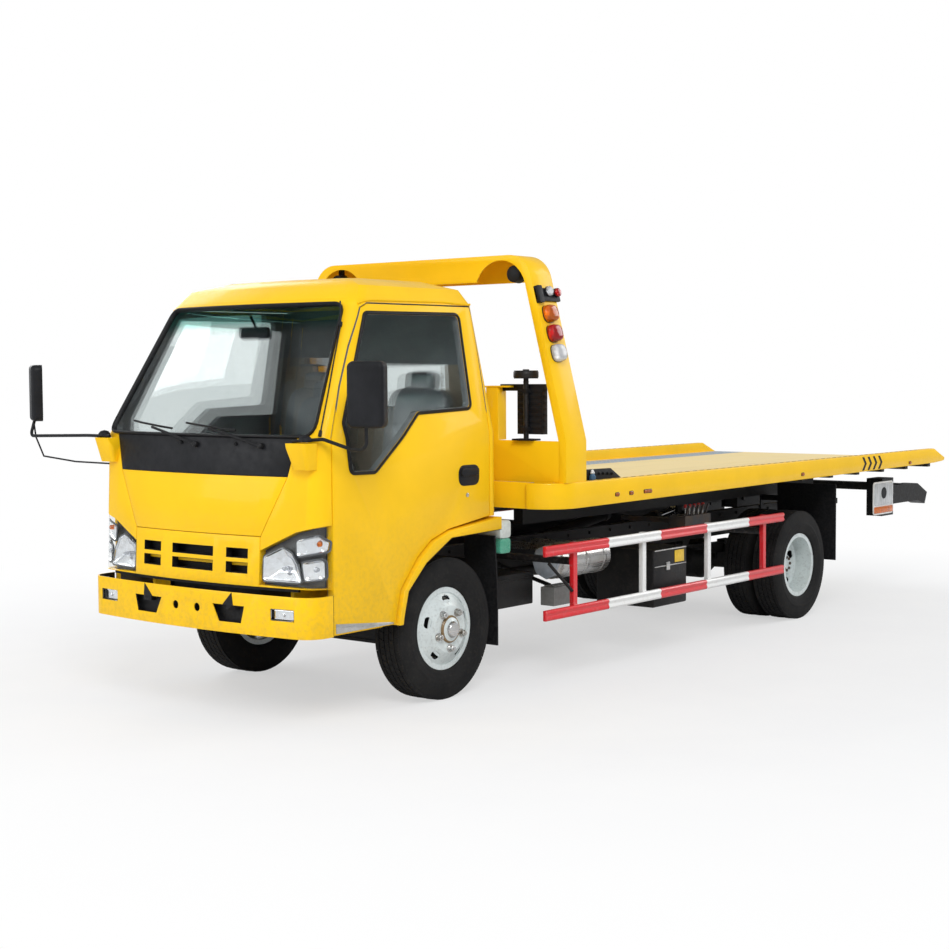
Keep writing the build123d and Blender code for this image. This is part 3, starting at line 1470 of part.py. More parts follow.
def tilt_rod():
    inside = beyond(CYL_FOOT, CYL_HEAD, CYL_BARREL_L - 260)
    eye_edge = beyond(CYL_HEAD, CYL_FOOT, HEAD_EYE[0] - 6)
    with BuildPart() as body:
        add(rod_between((CYL_X, *inside), (CYL_X, *eye_edge), CYL_ROD_R))
        with BuildSketch(side_plane(CYL_X - CYL_EYE_W / 2)):
            with Locations(CYL_HEAD):
                Circle(HEAD_EYE[0])
        extrude(amount=CYL_EYE_W)
        with BuildSketch(side_plane(CYL_X - CYL_EYE_W)):
            with Locations(CYL_HEAD):
                Circle(HEAD_EYE[1])
        extrude(amount=2 * CYL_EYE_W, mode=Mode.SUBTRACT)
    return body.part


save(tilt_frame(), "tilt_frame")
save(both_sides(tilt_barrel()), "tilt_barrels")
save(both_sides(tilt_rod()), "tilt_rods")


# ---------------------------------------------------------------- under-lift


def lift_tube():
    w, h, t = LIFT_TUBE
    with BuildPart() as body:
        with BuildSketch(front_plane(LIFT_Y[1])):
            with Locations((0, LIFT_Z)):
                Rectangle(w, h)
                Rectangle(w - 2 * t, h - 2 * t, mode=Mode.SUBTRACT)
        extrude(amount=LIFT_Y[1] - LIFT_Y[0])
    return body.part


def lift_slide():
    """Inner tube with the plate that the crossbar turns on."""
    w, h, t = LIFT_TUBE
    slack = 1
    with BuildPart() as body:
        with Locations((0, (LIFT_Y[0] + 20 + CROSSBAR_Y) / 2, LIFT_Z)):
            Box(w - 2 * t - 2 * slack, CROSSBAR_Y - LIFT_Y[0] - 20, h - 2 * t - 2 * slack)
        with Locations((0, CROSSBAR_Y - 10, LIFT_Z)):
            Cylinder(64, 60)
        foot, head = LIFT_Z - 15, LIFT_Z + 46 + CROSSBAR_H + PIVOT_HEAD
        with Locations((0, CROSSBAR_Y - 10, (foot + head) / 2)):
            Cylinder(PIVOT_R, head - foot)
    return body.part


def crossbar():
    z = LIFT_Z + 46 + CROSSBAR_H / 2
    with BuildPart() as body:
        with Locations((0, CROSSBAR_Y - 10, z)):
            Box(2 * CROSSBAR_HALF, 90, CROSSBAR_H)
        with Locations((0, CROSSBAR_Y - 10, z)):
            Cylinder(70, CROSSBAR_H)
        with Locations((0, CROSSBAR_Y - 10, z)):
            Cylinder(PIVOT_R + FIT, 2 * CROSSBAR_H, mode=Mode.SUBTRACT)
        for side in (-1, 1):
            with BuildSketch(side_plane(side * CROSSBAR_HALF - 60)):
                closed([(5240, 735), (5720, 735), (5860, 700), (5905, 790), (5720, 872), (5240, 872)])
            extrude(amount=120)
            with Locations((side * CROSSBAR_HALF, 5150, 798)):
                Box(130, 200, 290)
    return body.part


save(lift_tube(), "underlift_tube")
save(lift_slide(), "underlift_slide")
save(crossbar(), "underlift_crossbar")
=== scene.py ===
"""Flatbed tow truck: painted panels, glass, lamps, tyres and gear around the packed frame.

Metres throughout. +X is the truck's left, -Y its front, +Z up, origin on the ground under the front axle.
Left-hand shapes are drawn first and turned over for the right-hand side.
"""

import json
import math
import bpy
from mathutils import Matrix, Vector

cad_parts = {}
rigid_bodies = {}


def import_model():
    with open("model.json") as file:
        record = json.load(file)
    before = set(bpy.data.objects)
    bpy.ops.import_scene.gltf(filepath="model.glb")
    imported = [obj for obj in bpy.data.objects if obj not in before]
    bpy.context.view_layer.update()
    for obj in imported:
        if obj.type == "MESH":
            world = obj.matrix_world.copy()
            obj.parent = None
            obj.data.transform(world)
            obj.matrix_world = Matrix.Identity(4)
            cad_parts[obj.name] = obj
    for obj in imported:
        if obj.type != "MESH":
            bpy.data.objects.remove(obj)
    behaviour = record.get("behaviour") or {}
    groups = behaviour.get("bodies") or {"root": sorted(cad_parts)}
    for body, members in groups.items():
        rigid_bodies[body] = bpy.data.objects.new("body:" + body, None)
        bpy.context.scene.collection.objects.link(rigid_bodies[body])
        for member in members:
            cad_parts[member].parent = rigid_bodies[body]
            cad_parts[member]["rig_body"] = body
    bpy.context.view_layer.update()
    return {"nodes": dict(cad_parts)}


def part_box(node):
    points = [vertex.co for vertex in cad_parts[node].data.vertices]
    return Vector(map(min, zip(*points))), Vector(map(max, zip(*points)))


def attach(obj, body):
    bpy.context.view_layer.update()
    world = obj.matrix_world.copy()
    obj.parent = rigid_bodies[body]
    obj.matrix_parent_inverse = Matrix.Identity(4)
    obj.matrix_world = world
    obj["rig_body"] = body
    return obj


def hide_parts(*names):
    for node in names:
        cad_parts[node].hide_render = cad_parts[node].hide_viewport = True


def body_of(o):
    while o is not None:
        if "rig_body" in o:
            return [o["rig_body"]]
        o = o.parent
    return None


bl_info = {
    "name": "Flatbed tow truck",
    "version": (1, 0, 0),
    "blender": (4, 5, 0),
    "location": "View3D > Sidebar > Tow truck",
    "description": "Builds the dressed tow truck piece by piece around its frame",
    "category": "Object",
}

import bmesh
import bpy
from bpy.props import FloatProperty, FloatVectorProperty, IntProperty, PointerProperty
from mathutils import Matrix, Vector
from mathutils.bvhtree import BVHTree

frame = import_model()
NODES = frame["nodes"]

# ---------------------------------------------------------------- places shared by several pieces

WHEELBASE = 3.815
AXLE_Z = 0.3875
FRONT_WHEEL = (0.709, 0.0)
REAR_OUTER = (0.852, WHEELBASE)
REAR_INNER = (0.620, WHEELBASE)
RAIL_X, RAIL_BOTTOM, RAIL_TOP = 1.100, 1.002, 1.150
BED_FRONT, DECK_Z = 0.600, 1.070
BED_CORNER = 0.210
ARCH_FOOT_X, ARCH_TOP_X, BOARD_TOP, ARCH_TOP = 1.092, 0.815, 1.386, 2.450
LAMP_Y, LAMP_HEIGHTS = 0.806, (2.107, 1.994, 1.882)
WORK_LAMP = (0.695, 2.343)
SCREEN = [(-0.770, 1.463), (0.770, 1.463), (0.640, 2.128), (-0.640, 2.128)]
SIDE_WINDOW = [
    (-0.545, 2.080), (0.206, 2.088), (0.196, 1.588), (-0.249, 1.572), (-0.609, 1.279), (-0.784, 1.281),
    (-0.820, 1.525),
]
REAR_WINDOW = [(-0.52, 1.56), (0.52, 1.56), (0.52, 2.01), (-0.52, 2.01)]
SIDES = ((1, "left"), (-1, "right"))
# Each wheel's disc runs from its flat middle to its foot, as (radius, x).
FRONT_DISC = ((0.128, 0.825), (0.199, 0.779))
REAR_DISC = ((0.124, 0.745), (0.199, 0.800))
DISC_WALL = 0.004
STUD_RADIUS = 0.104
FIRST_STUD = math.radians(-36)
MIRROR_HEADS = ((1.085, 18), (-1.515, -32))  # (x, degrees turned)
MIRROR_Y, MIRROR_Z = -0.936, 1.672
SILENCER_X, SILENCER_Z = 0.720, 0.650
HAND_SCREW = (0.801, 0.730)
GUARD_CHANGES = (1.185, 1.757, 2.306, 2.849)  # y where red and white meet
CHEVRON_FIRST, CHEVRON_STEP = 4.475, 0.090
CHEVRON = ((0, 1.036), (0.034, 1.036), (0.078, 1.086), (0.034, 1.136), (0, 1.136), (0.044, 1.086))
# Each side marker reads (y, half length).
SIDE_MARKERS = ((1.22, 0.022), (1.37, 0.022), (1.55, 0.045), (3.54, 0.022), (5.32, 0.022))
REAR_LAMP = ((4.890, 0.668), (5.240, 0.922))
BOLTED_LENGTH = 5.4
BOLT_ROWS = (0.612, 0.728)
LEVERS = 5
SEAT_X = 0.40
WINCH_CENTRE = (0.0, 1.080, 1.190)
ROPE_WRAPS = 26
SCREW_TURNS = 23
GRIP_ROWS = (0.72, 0.76, 0.80, 0.84, 0.88, 0.92, 0.96)
BLOCK_RIBS = (1.455, 1.490, 1.525, 1.560, 1.595, 1.630, 1.665)
AMBER = (0.90, 0.22, 0.02)
ARCH_TONES = {
    "white": (0.85, 0.86, 0.88),
    "red": (0.65, 0.01, 0.012),
    "orange": (0.92, 0.20, 0.01),
    "clear": (0.90, 0.91, 0.93),
}

# ---------------------------------------------------------------- measures of the shapes' making

ROUNDED_OVER = 34  # degrees past which an edge is rounded
CLOSED_TIP = 0.0004
RAY_REACH = 2.0
SHEET = 0.0015
LINING_LIFT = 0.0022
BEZEL_DEPTH = 0.046
PAD_SQUARENESS = 0.42


# ---------------------------------------------------------------- sizes and colours a user may change


class TruckColours(bpy.types.PropertyGroup):
    """Colours of the finishes, as linear RGB."""

    body: FloatVectorProperty(
        name="Body paint", description="Cab, bed rails and arch", subtype="COLOR", size=3,
        default=(0.99, 0.585, 0.008),
    )
    deck: FloatVectorProperty(
        name="Deck paint", description="Flat of the bed", subtype="COLOR", size=3,
        default=(0.90, 0.71, 0.34),
    )
    deck_strip: FloatVectorProperty(
        name="Deck strips", description="Worn strips beside the rails", subtype="COLOR", size=3,
        default=(0.36, 0.42, 0.47),
    )
    guard_red: FloatVectorProperty(
        name="Guard red", description="Red lengths of the side guards", subtype="COLOR", size=3,
        default=(0.70, 0.012, 0.02),
    )
    wheel: FloatVectorProperty(
        name="Wheel paint", description="Rims and their discs", subtype="COLOR", size=3,
        default=(0.72, 0.78, 0.77),
    )


class TruckSizes(bpy.types.PropertyGroup):
    """Sizes of repeated or trimmed features."""

    tread_blocks: IntProperty(
        name="Tread blocks", description="Blocks round one row of a tyre's tread", default=58, min=12,
        max=90,
    )
    seal_radius: FloatProperty(
        name="Window seal", description="Radius of the rubber round the windows", default=0.011, min=0.004,
        max=0.02, unit="LENGTH",
    )
    panel_edge: FloatProperty(
        name="Panel edge", description="Rounding of pressed panels' edges", default=0.004, min=0.0005,
        max=0.01, unit="LENGTH",
    )
    bolt_pitch: FloatProperty(
        name="Frame bolt pitch", description="Distance between bolts along the chassis rails", default=0.24,
        min=0.05, max=1.0, unit="LENGTH",
    )


def colours():
    return bpy.context.scene.truck_colours


def sizes():
    return bpy.context.scene.truck_sizes


# ---------------------------------------------------------------- finishes

FINISHES = {}
# The colour mix node has sockets of the same name for each kind of value, so these four are told by number.
MIX_FACTOR, MIX_FIRST, MIX_SECOND, MIX_RESULT = 0, 6, 7, 2
UNDERSIDE_BLACK = (0.012, 0.012, 0.013)


class Finish:
    """One material's node tree, built from small steps. slot is the part's slot that it stands in."""

    def __init__(self, name, slot=None, **shader):
        self.material = bpy.data.materials.new(name)
        self.material.use_nodes = True
        self.nodes = self.material.node_tree.nodes
        self.links = self.material.node_tree.links
        self.shader = self.nodes["Principled BSDF"]
        self.place = self.nodes.new("ShaderNodeTexCoord").outputs["Object"]
        for socket, value in shader.items():
            self.shader.inputs[socket.replace("_", " ")].default_value = value

    def feed(self, value, socket):
        """Links a socket's value to a socket, or sets a plain value on it."""
        if hasattr(value, "node"):
            self.links.new(value, socket)
        elif socket.type == "RGBA":
            socket.default_value = (*value[:3], 1)
        else:
            socket.default_value = value

    def noise(self, scale, detail=4, rough=0.6, stretch=(1, 1, 1)):
        mapping = self.nodes.new("ShaderNodeMapping")
        mapping.inputs["Scale"].default_value = stretch
        self.links.new(self.place, mapping.inputs["Vector"])
        texture = self.nodes.new("ShaderNodeTexNoise")
        texture.inputs["Scale"].default_value = scale
        texture.inputs["Detail"].default_value = detail
        texture.inputs["Roughness"].default_value = rough
        self.links.new(mapping.outputs["Vector"], texture.inputs["Vector"])
        return texture.outputs["Fac"]

    def wave(self, **values):
        texture = self.nodes.new("ShaderNodeTexWave")
        for socket, value in values.items():
            texture.inputs[socket].default_value = value
        self.links.new(self.place, texture.inputs["Vector"])
        return texture

    def span(self, value, low, high, to_low=0.0, to_high=1.0):
        """The value between low and high, spread from to_low to to_high."""
        node = self.nodes.new("ShaderNodeMapRange")
        node.inputs["From Min"].default_value = low
        node.inputs["From Max"].default_value = high
        node.inputs["To Min"].default_value = to_low
        node.inputs["To Max"].default_value = to_high
        self.links.new(value, node.inputs["Value"])
        return node.outputs["Result"]

    def mix(self, factor, first, second):
        node = self.nodes.new("ShaderNodeMix")
        node.data_type = "RGBA"
        self.feed(factor, node.inputs[MIX_FACTOR])
        self.feed(first, node.inputs[MIX_FIRST])
        self.feed(second, node.inputs[MIX_SECOND])
        return node.outputs[MIX_RESULT]

    def maths(self, operation, *values, clamp=True):
        node = self.nodes.new("ShaderNodeMath")
        node.operation = operation
        node.use_clamp = clamp
        for value, socket in zip(values, node.inputs):
            self.feed(value, socket)
        return node.outputs["Value"]

    def vector(self, operation, *values, result="Vector"):
        node = self.nodes.new("ShaderNodeVectorMath")
        node.operation = operation
        for value, socket in zip(values, node.inputs):
            self.feed(value, socket)
        return node.outputs[result]

    def axis(self, name):
        split = self.nodes.new("ShaderNodeSeparateXYZ")
        self.links.new(self.place, split.inputs["Vector"])
        return split.outputs[name]

    def outwards(self):
        """Distance from the truck's middle plane, the same on both sides."""
        return self.maths("ABSOLUTE", self.axis("X"), clamp=False)

    def stained(self, base, speck, low, high, amount, stain):
        """The base with a stain where the speck is high."""
        return self.mix(self.maths("MULTIPLY", self.span(speck, low, high), amount), base, stain)

    def colour(self, socket):
        self.links.new(socket, self.shader.inputs["Base Color"])

    def rough(self, socket):
        self.links.new(socket, self.shader.inputs["Roughness"])

    def bump(self, value, strength, distance=0.001):
        node = self.nodes.new("ShaderNodeBump")
        node.inputs["Strength"].default_value = strength
        node.inputs["Distance"].default_value = distance
        self.links.new(value, node.inputs["Height"])
        self.links.new(node.outputs["Normal"], self.shader.inputs["Normal"])


def finish_named(make):
    """Each finish is made once and shared."""

    def once(*args):
        key = (make.__name__, *args)
        if key not in FINISHES:
            FINISHES[key] = make(*args).material
        return FINISHES[key]

    return once


def mottled(name, slot, tones, cloud=None, speck=None, dirt=None, rough=None, bump=None, **shader):
    """Two tones that change with a noise, and dirt, gloss and grain that follow a finer one.

    tones reads (low, high, first, second). cloud and speck are noises, and the speck does for both where
    no cloud is given. dirt reads as in stained, rough as in span and bump as in bump.
    """
    finish = Finish(name, slot, **shader)
    fine = finish.noise(*speck) if speck else None
    wide = finish.noise(*cloud) if cloud else fine
    low, high, first, second = tones
    shade = finish.mix(finish.span(wide, low, high), first, second)
    finish.colour(finish.stained(shade, fine, *dirt) if dirt else shade)
    if rough:
        finish.rough(finish.span(fine, *rough))
    if bump:
        finish.bump(fine, *bump)
    return finish


def darker(colour, share):
    return [part * share for part in colour]


def painted(name, slot, colour, roughness=0.36, coat=0.14, dust=0.25):
    """Sprayed paint: faint orange peel, uneven gloss and road dust towards the ground."""
    shine = {"Specular_IOR_Level": 0.12, "Coat_Weight": coat, "Coat_Roughness": 0.08}
    finish = Finish(name, slot, Roughness=roughness, **shine)
    cloud = finish.noise(2.2, 3)
    speck = finish.noise(38, 6)
    base = finish.mix(finish.span(cloud, 0.35, 0.7), colour, darker(colour, 0.91))
    low = finish.span(finish.axis("Z"), 1.15, 0.35)
    grime = finish.maths("MULTIPLY", finish.maths("MULTIPLY", low, finish.span(speck, 0.42, 0.72)), dust)
    finish.colour(finish.mix(grime, base, (0.19, 0.16, 0.12)))
    uneven = finish.span(speck, 0.3, 0.7, roughness - 0.05, roughness + 0.09)
    finish.rough(finish.maths("ADD", uneven, grime))
    finish.bump(finish.noise(160, 2), 0.05, 0.0004)
    return finish


@finish_named
def body_paint():
    return painted("body_yellow_paint", "body_yellow", tuple(colours().body))


@finish_named
def white_paint():
    return painted("white_paint", "lamp_clear", (0.82, 0.82, 0.80), 0.32, 0.4, 0.5)


@finish_named
def frame_paint():
    return mottled(
        "frame_black_paint", "frame_black", (0.35, 0.7, (0.007, 0.007, 0.008), (0.015, 0.0145, 0.014)),
        cloud=(5, 4), speck=(55, 7), dirt=(0.48, 0.75, 0.3, (0.07, 0.06, 0.05)),
        rough=(0.3, 0.7, 0.34, 0.62), bump=(0.12, 0.0006), Roughness=0.5, Specular_IOR_Level=0.25,
    )


@finish_named
def cast_metal():
    return mottled(
        "cast_iron", "cast_grey", (0.4, 0.65, (0.075, 0.075, 0.078), (0.12, 0.085, 0.06)),
        cloud=(7, 5), speck=(90, 8, 0.7), rough=(0.3, 0.7, 0.5, 0.75), bump=(0.35, 0.001),
        Metallic=0.6, Roughness=0.6,
    )


@finish_named
def bright_steel():
    return mottled(
        "brushed_bright_steel", "bright_metal", (0.4, 0.7, (0.62, 0.62, 0.61), (0.44, 0.42, 0.38)),
        cloud=(6, 5), speck=(120, 3, 0.5, (1, 0.05, 1)), rough=(0.3, 0.7, 0.2, 0.42), bump=(0.08, 0.0004),
        Metallic=0.95, Roughness=0.3,
    )


@finish_named
def chrome():
    return mottled(
        "polished_chrome", "bright_metal", (0.4, 0.8, (0.80, 0.81, 0.83), (0.68, 0.68, 0.69)),
        speck=(30, 4), rough=(0.3, 0.8, 0.05, 0.16), Metallic=1.0, Roughness=0.08,
    )


@finish_named
def wheel_paint(name, y, flat, foot):
    """Silver paint on a wheel's disc, which runs from flat to foot, and black below it."""
    tone = tuple(colours().wheel)
    finish = Finish("wheel_silver_paint_" + name, Roughness=0.42, Metallic=0.2)
    speck = finish.noise(60, 6)
    base = finish.mix(finish.span(finish.noise(9, 4), 0.35, 0.7), tone, darker(tone, 0.86))
    dusty = finish.stained(base, speck, 0.5, 0.75, 0.3, (0.13, 0.11, 0.09))
    # Painted shade: from here a mask picks what lies inboard of the disc and inside its foot, and turns it
    # near black, as the hub in shade behind the hand holes.
    from_axle = finish.vector("SUBTRACT", finish.place, (0, y, AXLE_Z))
    radius = finish.vector("LENGTH", finish.vector("MULTIPLY", from_axle, (0, 1, 1)), result="Value")
    face = finish.span(radius, flat[0], foot[0], flat[1] - DISC_WALL, foot[1] - DISC_WALL)
    deep = finish.span(finish.maths("SUBTRACT", face, finish.outwards()), 0.0, 0.001)
    within = finish.span(radius, foot[0] - 0.002, foot[0] - 0.003)
    finish.colour(finish.mix(finish.maths("MULTIPLY", deep, within), dusty, (0.004, 0.004, 0.0045)))
    finish.rough(finish.span(speck, 0.3, 0.7, 0.3, 0.5))
    finish.bump(speck, 0.06, 0.0004)
    return finish


@finish_named
def tyre_rubber():
    return mottled(
        "tyre_rubber", "tyre_black", (0.35, 0.7, (0.010, 0.010, 0.0105), (0.019, 0.0185, 0.018)),
        cloud=(6, 4), speck=(45, 8, 0.7), dirt=(0.5, 0.8, 0.35, (0.07, 0.062, 0.052)),
        rough=(0.3, 0.7, 0.66, 0.9), bump=(0.15, 0.0008), Roughness=0.85, Specular_IOR_Level=0.15,
    )


@finish_named
def seal_rubber():
    return mottled(
        "window_seal_rubber", "trim_black", (0.4, 0.75, (0.008, 0.008, 0.009), (0.022, 0.022, 0.023)),
        speck=(70, 5), rough=(0.3, 0.7, 0.4, 0.62), bump=(0.06, 0.0004), Roughness=0.6,
        Specular_IOR_Level=0.2,
    )


@finish_named
def moulded_plastic():
    """Black plastic with a fine moulded grain and a gloss that changes more slowly than the grain."""
    finish = mottled(
        "black_moulded_plastic", "trim_black", (0.35, 0.75, (0.007, 0.0075, 0.009), (0.014, 0.0145, 0.017)),
        cloud=(8, 4), speck=(420, 3, 0.5), bump=(0.25, 0.0005), Roughness=0.55, Specular_IOR_Level=0.2,
    )
    finish.rough(finish.span(finish.noise(25, 4), 0.3, 0.7, 0.4, 0.6))
    return finish


@finish_named
def grey_plastic():
    return mottled(
        "grey_lamp_bezel", "trim_black", (0.35, 0.75, (0.075, 0.08, 0.088), (0.11, 0.115, 0.12)),
        cloud=(14, 4), speck=(300, 3), bump=(0.12, 0.0004), Roughness=0.42,
    )


@finish_named
def dash_plastic():
    return mottled(
        "dashboard_grey_plastic", "trim_black", (0.35, 0.75, (0.13, 0.135, 0.14), (0.18, 0.185, 0.19)),
        cloud=(10, 4), speck=(350, 3), bump=(0.2, 0.0005), Roughness=0.6,
    )


@finish_named
def seat_cover():
    """Grey weave under clear plastic film."""
    film = {"Coat_Weight": 0.9, "Coat_Roughness": 0.18, "Sheen_Weight": 0.3}
    finish = Finish("seat_weave_under_film", "seat_grey", Roughness=0.42, **film)
    weave = finish.wave(Scale=60, Distortion=1.5).outputs["Fac"]
    folds = finish.noise(9, 6, 0.55, (1, 1, 0.35))
    finish.colour(finish.mix(finish.span(weave, 0.2, 0.8), (0.055, 0.06, 0.068), (0.10, 0.105, 0.115)))
    finish.rough(finish.span(folds, 0.3, 0.7, 0.25, 0.6))
    finish.bump(folds, 0.7, 0.012)
    return finish


@finish_named
def clear_glass():
    return mottled(
        "window_glass", "window_glass", (0.3, 0.7, (0.70, 0.78, 0.77), (0.62, 0.72, 0.72)),
        cloud=(3, 3), Roughness=0.03, Transmission_Weight=1.0, IOR=1.05, Alpha=0.55,
    )


@finish_named
def screen_glass():
    """Windscreen glass with a green band along its top."""
    finish = Finish("windscreen_glass", Roughness=0.03, Transmission_Weight=1.0, IOR=1.05, Alpha=0.6)
    band = finish.span(finish.axis("Z"), 1.98, 2.05)
    film = finish.mix(finish.span(finish.noise(3, 3), 0.3, 0.7), (0.62, 0.66, 0.66), (0.56, 0.61, 0.61))
    finish.colour(finish.mix(band, film, (0.05, 0.30, 0.24)))
    return finish


@finish_named
def lamp_glass(name, colour):
    return mottled(
        "lamp_lens_" + name, "lamp_clear", (0.35, 0.65, colour, darker(colour, 0.72)),
        speck=(60, 2, 0.5, (1, 1, 0.2)), bump=(0.35, 0.001),
        Roughness=0.06, Transmission_Weight=0.55, IOR=1.3, Coat_Weight=0.5,
    )


@finish_named
def clear_lens():
    """Clear moulded cover over a lamp."""
    return mottled(
        "clear_lamp_cover", "lamp_clear", (0.3, 0.7, (0.97, 0.98, 0.98), (0.90, 0.92, 0.93)),
        cloud=(8, 3), Roughness=0.02, Transmission_Weight=1.0, IOR=1.12,
    )


@finish_named
def deck_paint():
    """Cream plate with tyre scuffs, blue-grey strips next to the rails, and black steel beneath."""
    finish = Finish("deck_cream_paint", "deck_cream", Roughness=0.5)
    scuff = finish.noise(3.5, 8, 0.7, (1, 0.12, 1))
    speck = finish.noise(70, 7, 0.7)
    side = finish.outwards()
    strip = finish.maths("MULTIPLY", finish.span(side, 0.700, 0.702), finish.span(side, 1.000, 0.998))
    base = finish.mix(strip, tuple(colours().deck), tuple(colours().deck_strip))
    worn = finish.stained(base, scuff, 0.5, 0.72, 0.25, (0.38, 0.33, 0.26))
    marked = finish.stained(worn, speck, 0.55, 0.75, 0.25, (0.40, 0.33, 0.24))
    finish.colour(finish.mix(finish.span(finish.axis("Z"), 1.048, 1.052), UNDERSIDE_BLACK, marked))
    finish.rough(finish.span(scuff, 0.3, 0.7, 0.42, 0.66))
    finish.bump(speck, 0.12, 0.0006)
    return finish


@finish_named
def guard_paint():
    """Red and white lengths, changing along the guard, and black arms behind it."""
    finish = Finish("guard_red_and_white_paint", "guard_red_white", Roughness=0.34, Coat_Weight=0.4)
    along = finish.axis("Y")
    red_to, white_to, red_again_to, white_end = [
        finish.span(along, y - 0.0008, y + 0.0008) for y in GUARD_CHANGES
    ]
    first, second = finish.maths("SUBTRACT", red_to, white_to), finish.maths(
        "SUBTRACT", red_again_to, white_end,
    )
    white = finish.maths("ADD", first, second)
    striped = finish.mix(white, tuple(colours().guard_red), (0.84, 0.84, 0.82))
    base = finish.mix(finish.span(finish.outwards(), 1.008, 1.010), UNDERSIDE_BLACK, striped)
    speck = finish.noise(50, 6)
    finish.colour(finish.stained(base, speck, 0.52, 0.75, 0.25, (0.35, 0.30, 0.26)))
    finish.rough(finish.span(speck, 0.3, 0.7, 0.28, 0.5))
    finish.bump(finish.noise(150, 2), 0.05, 0.0005)
    return finish


@finish_named
def mirror_glass():
    return mottled(
        "mirror_glass", "bright_metal", (0.4, 0.7, (0.78, 0.80, 0.83), (0.70, 0.72, 0.75)),
        cloud=(5, 3), Metallic=1.0, Roughness=0.03,
    )


@finish_named
def wire_rope():
    finish = Finish("wire_rope", "bright_metal", Metallic=0.85, Roughness=0.42)
    twist = finish.wave(Scale=90)
    twist.bands_direction = "DIAGONAL"
    finish.colour(finish.mix(twist.outputs["Fac"], (0.20, 0.19, 0.18), (0.52, 0.51, 0.49)))
    finish.bump(twist.outputs["Fac"], 0.5, 0.001)
    return finish


@finish_named
def plain(name, colour, roughness, slot="trim_black"):
    """Small coloured parts: caps, knobs, reflectors and straps."""
    return mottled(
        name, slot, (0.35, 0.75, colour, darker(colour, 0.8)), speck=(40, 5),
        rough=(0.3, 0.7, max(roughness - 0.08, 0.03), roughness + 0.1), bump=(0.05, 0.0005),
        Roughness=roughness, Coat_Weight=0.2,
    )


# ---------------------------------------------------------------- making shapes


class Work:
    """Closed shapes gathered into one mesh, which becomes one piece."""

    def __init__(self):
        self.bm = bmesh.new()

    def skin(self, rings, loop=False):
        """Joins rings of as many points each, and closes both ends unless the rings form a loop."""
        made = [[self.bm.verts.new(p) for p in ring] for ring in rings]
        pairs = list(zip(made, made[1:])) + ([(made[-1], made[0])] if loop else [])
        for first, second in pairs:
            for i in range(len(first)):
                j = (i + 1) % len(first)
                self.bm.faces.new((first[i], first[j], second[j], second[i]))
        if not loop:
            self.bm.faces.new(made[0][::-1])
            self.bm.faces.new(made[-1])
        return self

    def box(self, low, high):
        (x0, y0, z0), (x1, y1, z1) = low, high
        ring = [(x0, y0), (x1, y0), (x1, y1), (x0, y1)]
        return self.skin([[(x, y, z0) for x, y in ring], [(x, y, z1) for x, y in ring]])

    def prism(self, axis, outline, start, end):
        """outline reads (y, z) along X, (x, z) along Y and (x, y) along Z."""
        place = {
            "x": lambda a, b, t: (t, a, b), "y": lambda a, b, t: (a, t, b), "z": lambda a, b, t: (a, b, t),
        }[axis]
        return self.skin([[place(a, b, start) for a, b in outline], [place(a, b, end) for a, b in outline]])

    def turned(self, profile, centre, direction, sides=32):
        """profile reads (distance along the direction, radius); ends on the axis close to a small cap."""
        spin = Vector(direction).normalized().to_track_quat("Z", "Y").to_matrix()
        centre = Vector(centre)
        rings = []
        for along, radius in profile:
            radius = max(radius, CLOSED_TIP)
            rings.append([
                centre + spin @ Vector((radius * math.cos(t), radius * math.sin(t), along))
                for t in (2 * math.pi * i / sides for i in range(sides))
            ])
        return self.skin(rings)

    def ring(self, centre, direction, radius, section, sides=32):
        """A closed hoop whose section is a list of (along, out) points."""
        spin = Vector(direction).normalized().to_track_quat("Z", "Y").to_matrix()
        centre = Vector(centre)
        rings = []
        for i in range(sides):
            t = 2 * math.pi * i / sides
            rings.append(
                [
                    centre + spin @ Vector(
                        ((radius + out) * math.cos(t), (radius + out) * math.sin(t), along)
                    )
                    for along, out in section
                ]
            )
        return self.skin(rings, loop=True)

    def tube(self, path, radius, sides=10, loop=False, flat=1.0):
        """A round bar along a path; its section is carried on without twist."""
        path = [Vector(p) for p in path]
        n = len(path)
        ways = []
        for i in range(n):
            before = path[i - 1] if loop or i else path[0]
            after = path[(i + 1) % n] if loop or i < n - 1 else path[-1]
            ways.append((after - before).normalized())
        side = ways[0].orthogonal().normalized()
        rings = []
        for point, way in zip(path, ways):
            side = (side - way * side.dot(way)).normalized()
            other = way.cross(side)
            rings.append([
                point + radius * (math.cos(t) * side + flat * math.sin(t) * other)
                for t in (2 * math.pi * (i + 0.5) / sides for i in range(sides))
            ])
        return self.skin(rings, loop)

    def mirror(self):
        """Adds the same shapes turned over for the other side."""
        copy = bmesh.ops.duplicate(self.bm, geom=self.bm.faces[:] + self.bm.verts[:] + self.bm.edges[:])
        for part in copy["geom"]:
            if isinstance(part, bmesh.types.BMVert):
                part.co.x *= -1
        return self

    def mesh(self, name):
        bmesh.ops.recalc_face_normals(self.bm, faces=self.bm.faces)
        return mesh_of(self.bm, name)

    def piece(self, name, body, material, edge=0.0, angle=32, instead_of=()):
        return finished(self.mesh(name), name, body, material, edge, angle, instead_of)


def placed(name, data):
    """A new object in the scene."""
    obj = bpy.data.objects.new(name, data)
    bpy.context.scene.collection.objects.link(obj)
    return obj


def mesh_of(bm, name):
    mesh = bpy.data.meshes.new(name)
    bm.to_mesh(mesh)
    bm.free()
    return mesh


def evaluated_mesh(obj):
    """The mesh that an object's modifiers make, with none left live."""
    graph = bpy.context.evaluated_depsgraph_get()
    graph.update()
    return bpy.data.meshes.new_from_object(obj.evaluated_get(graph), depsgraph=graph)


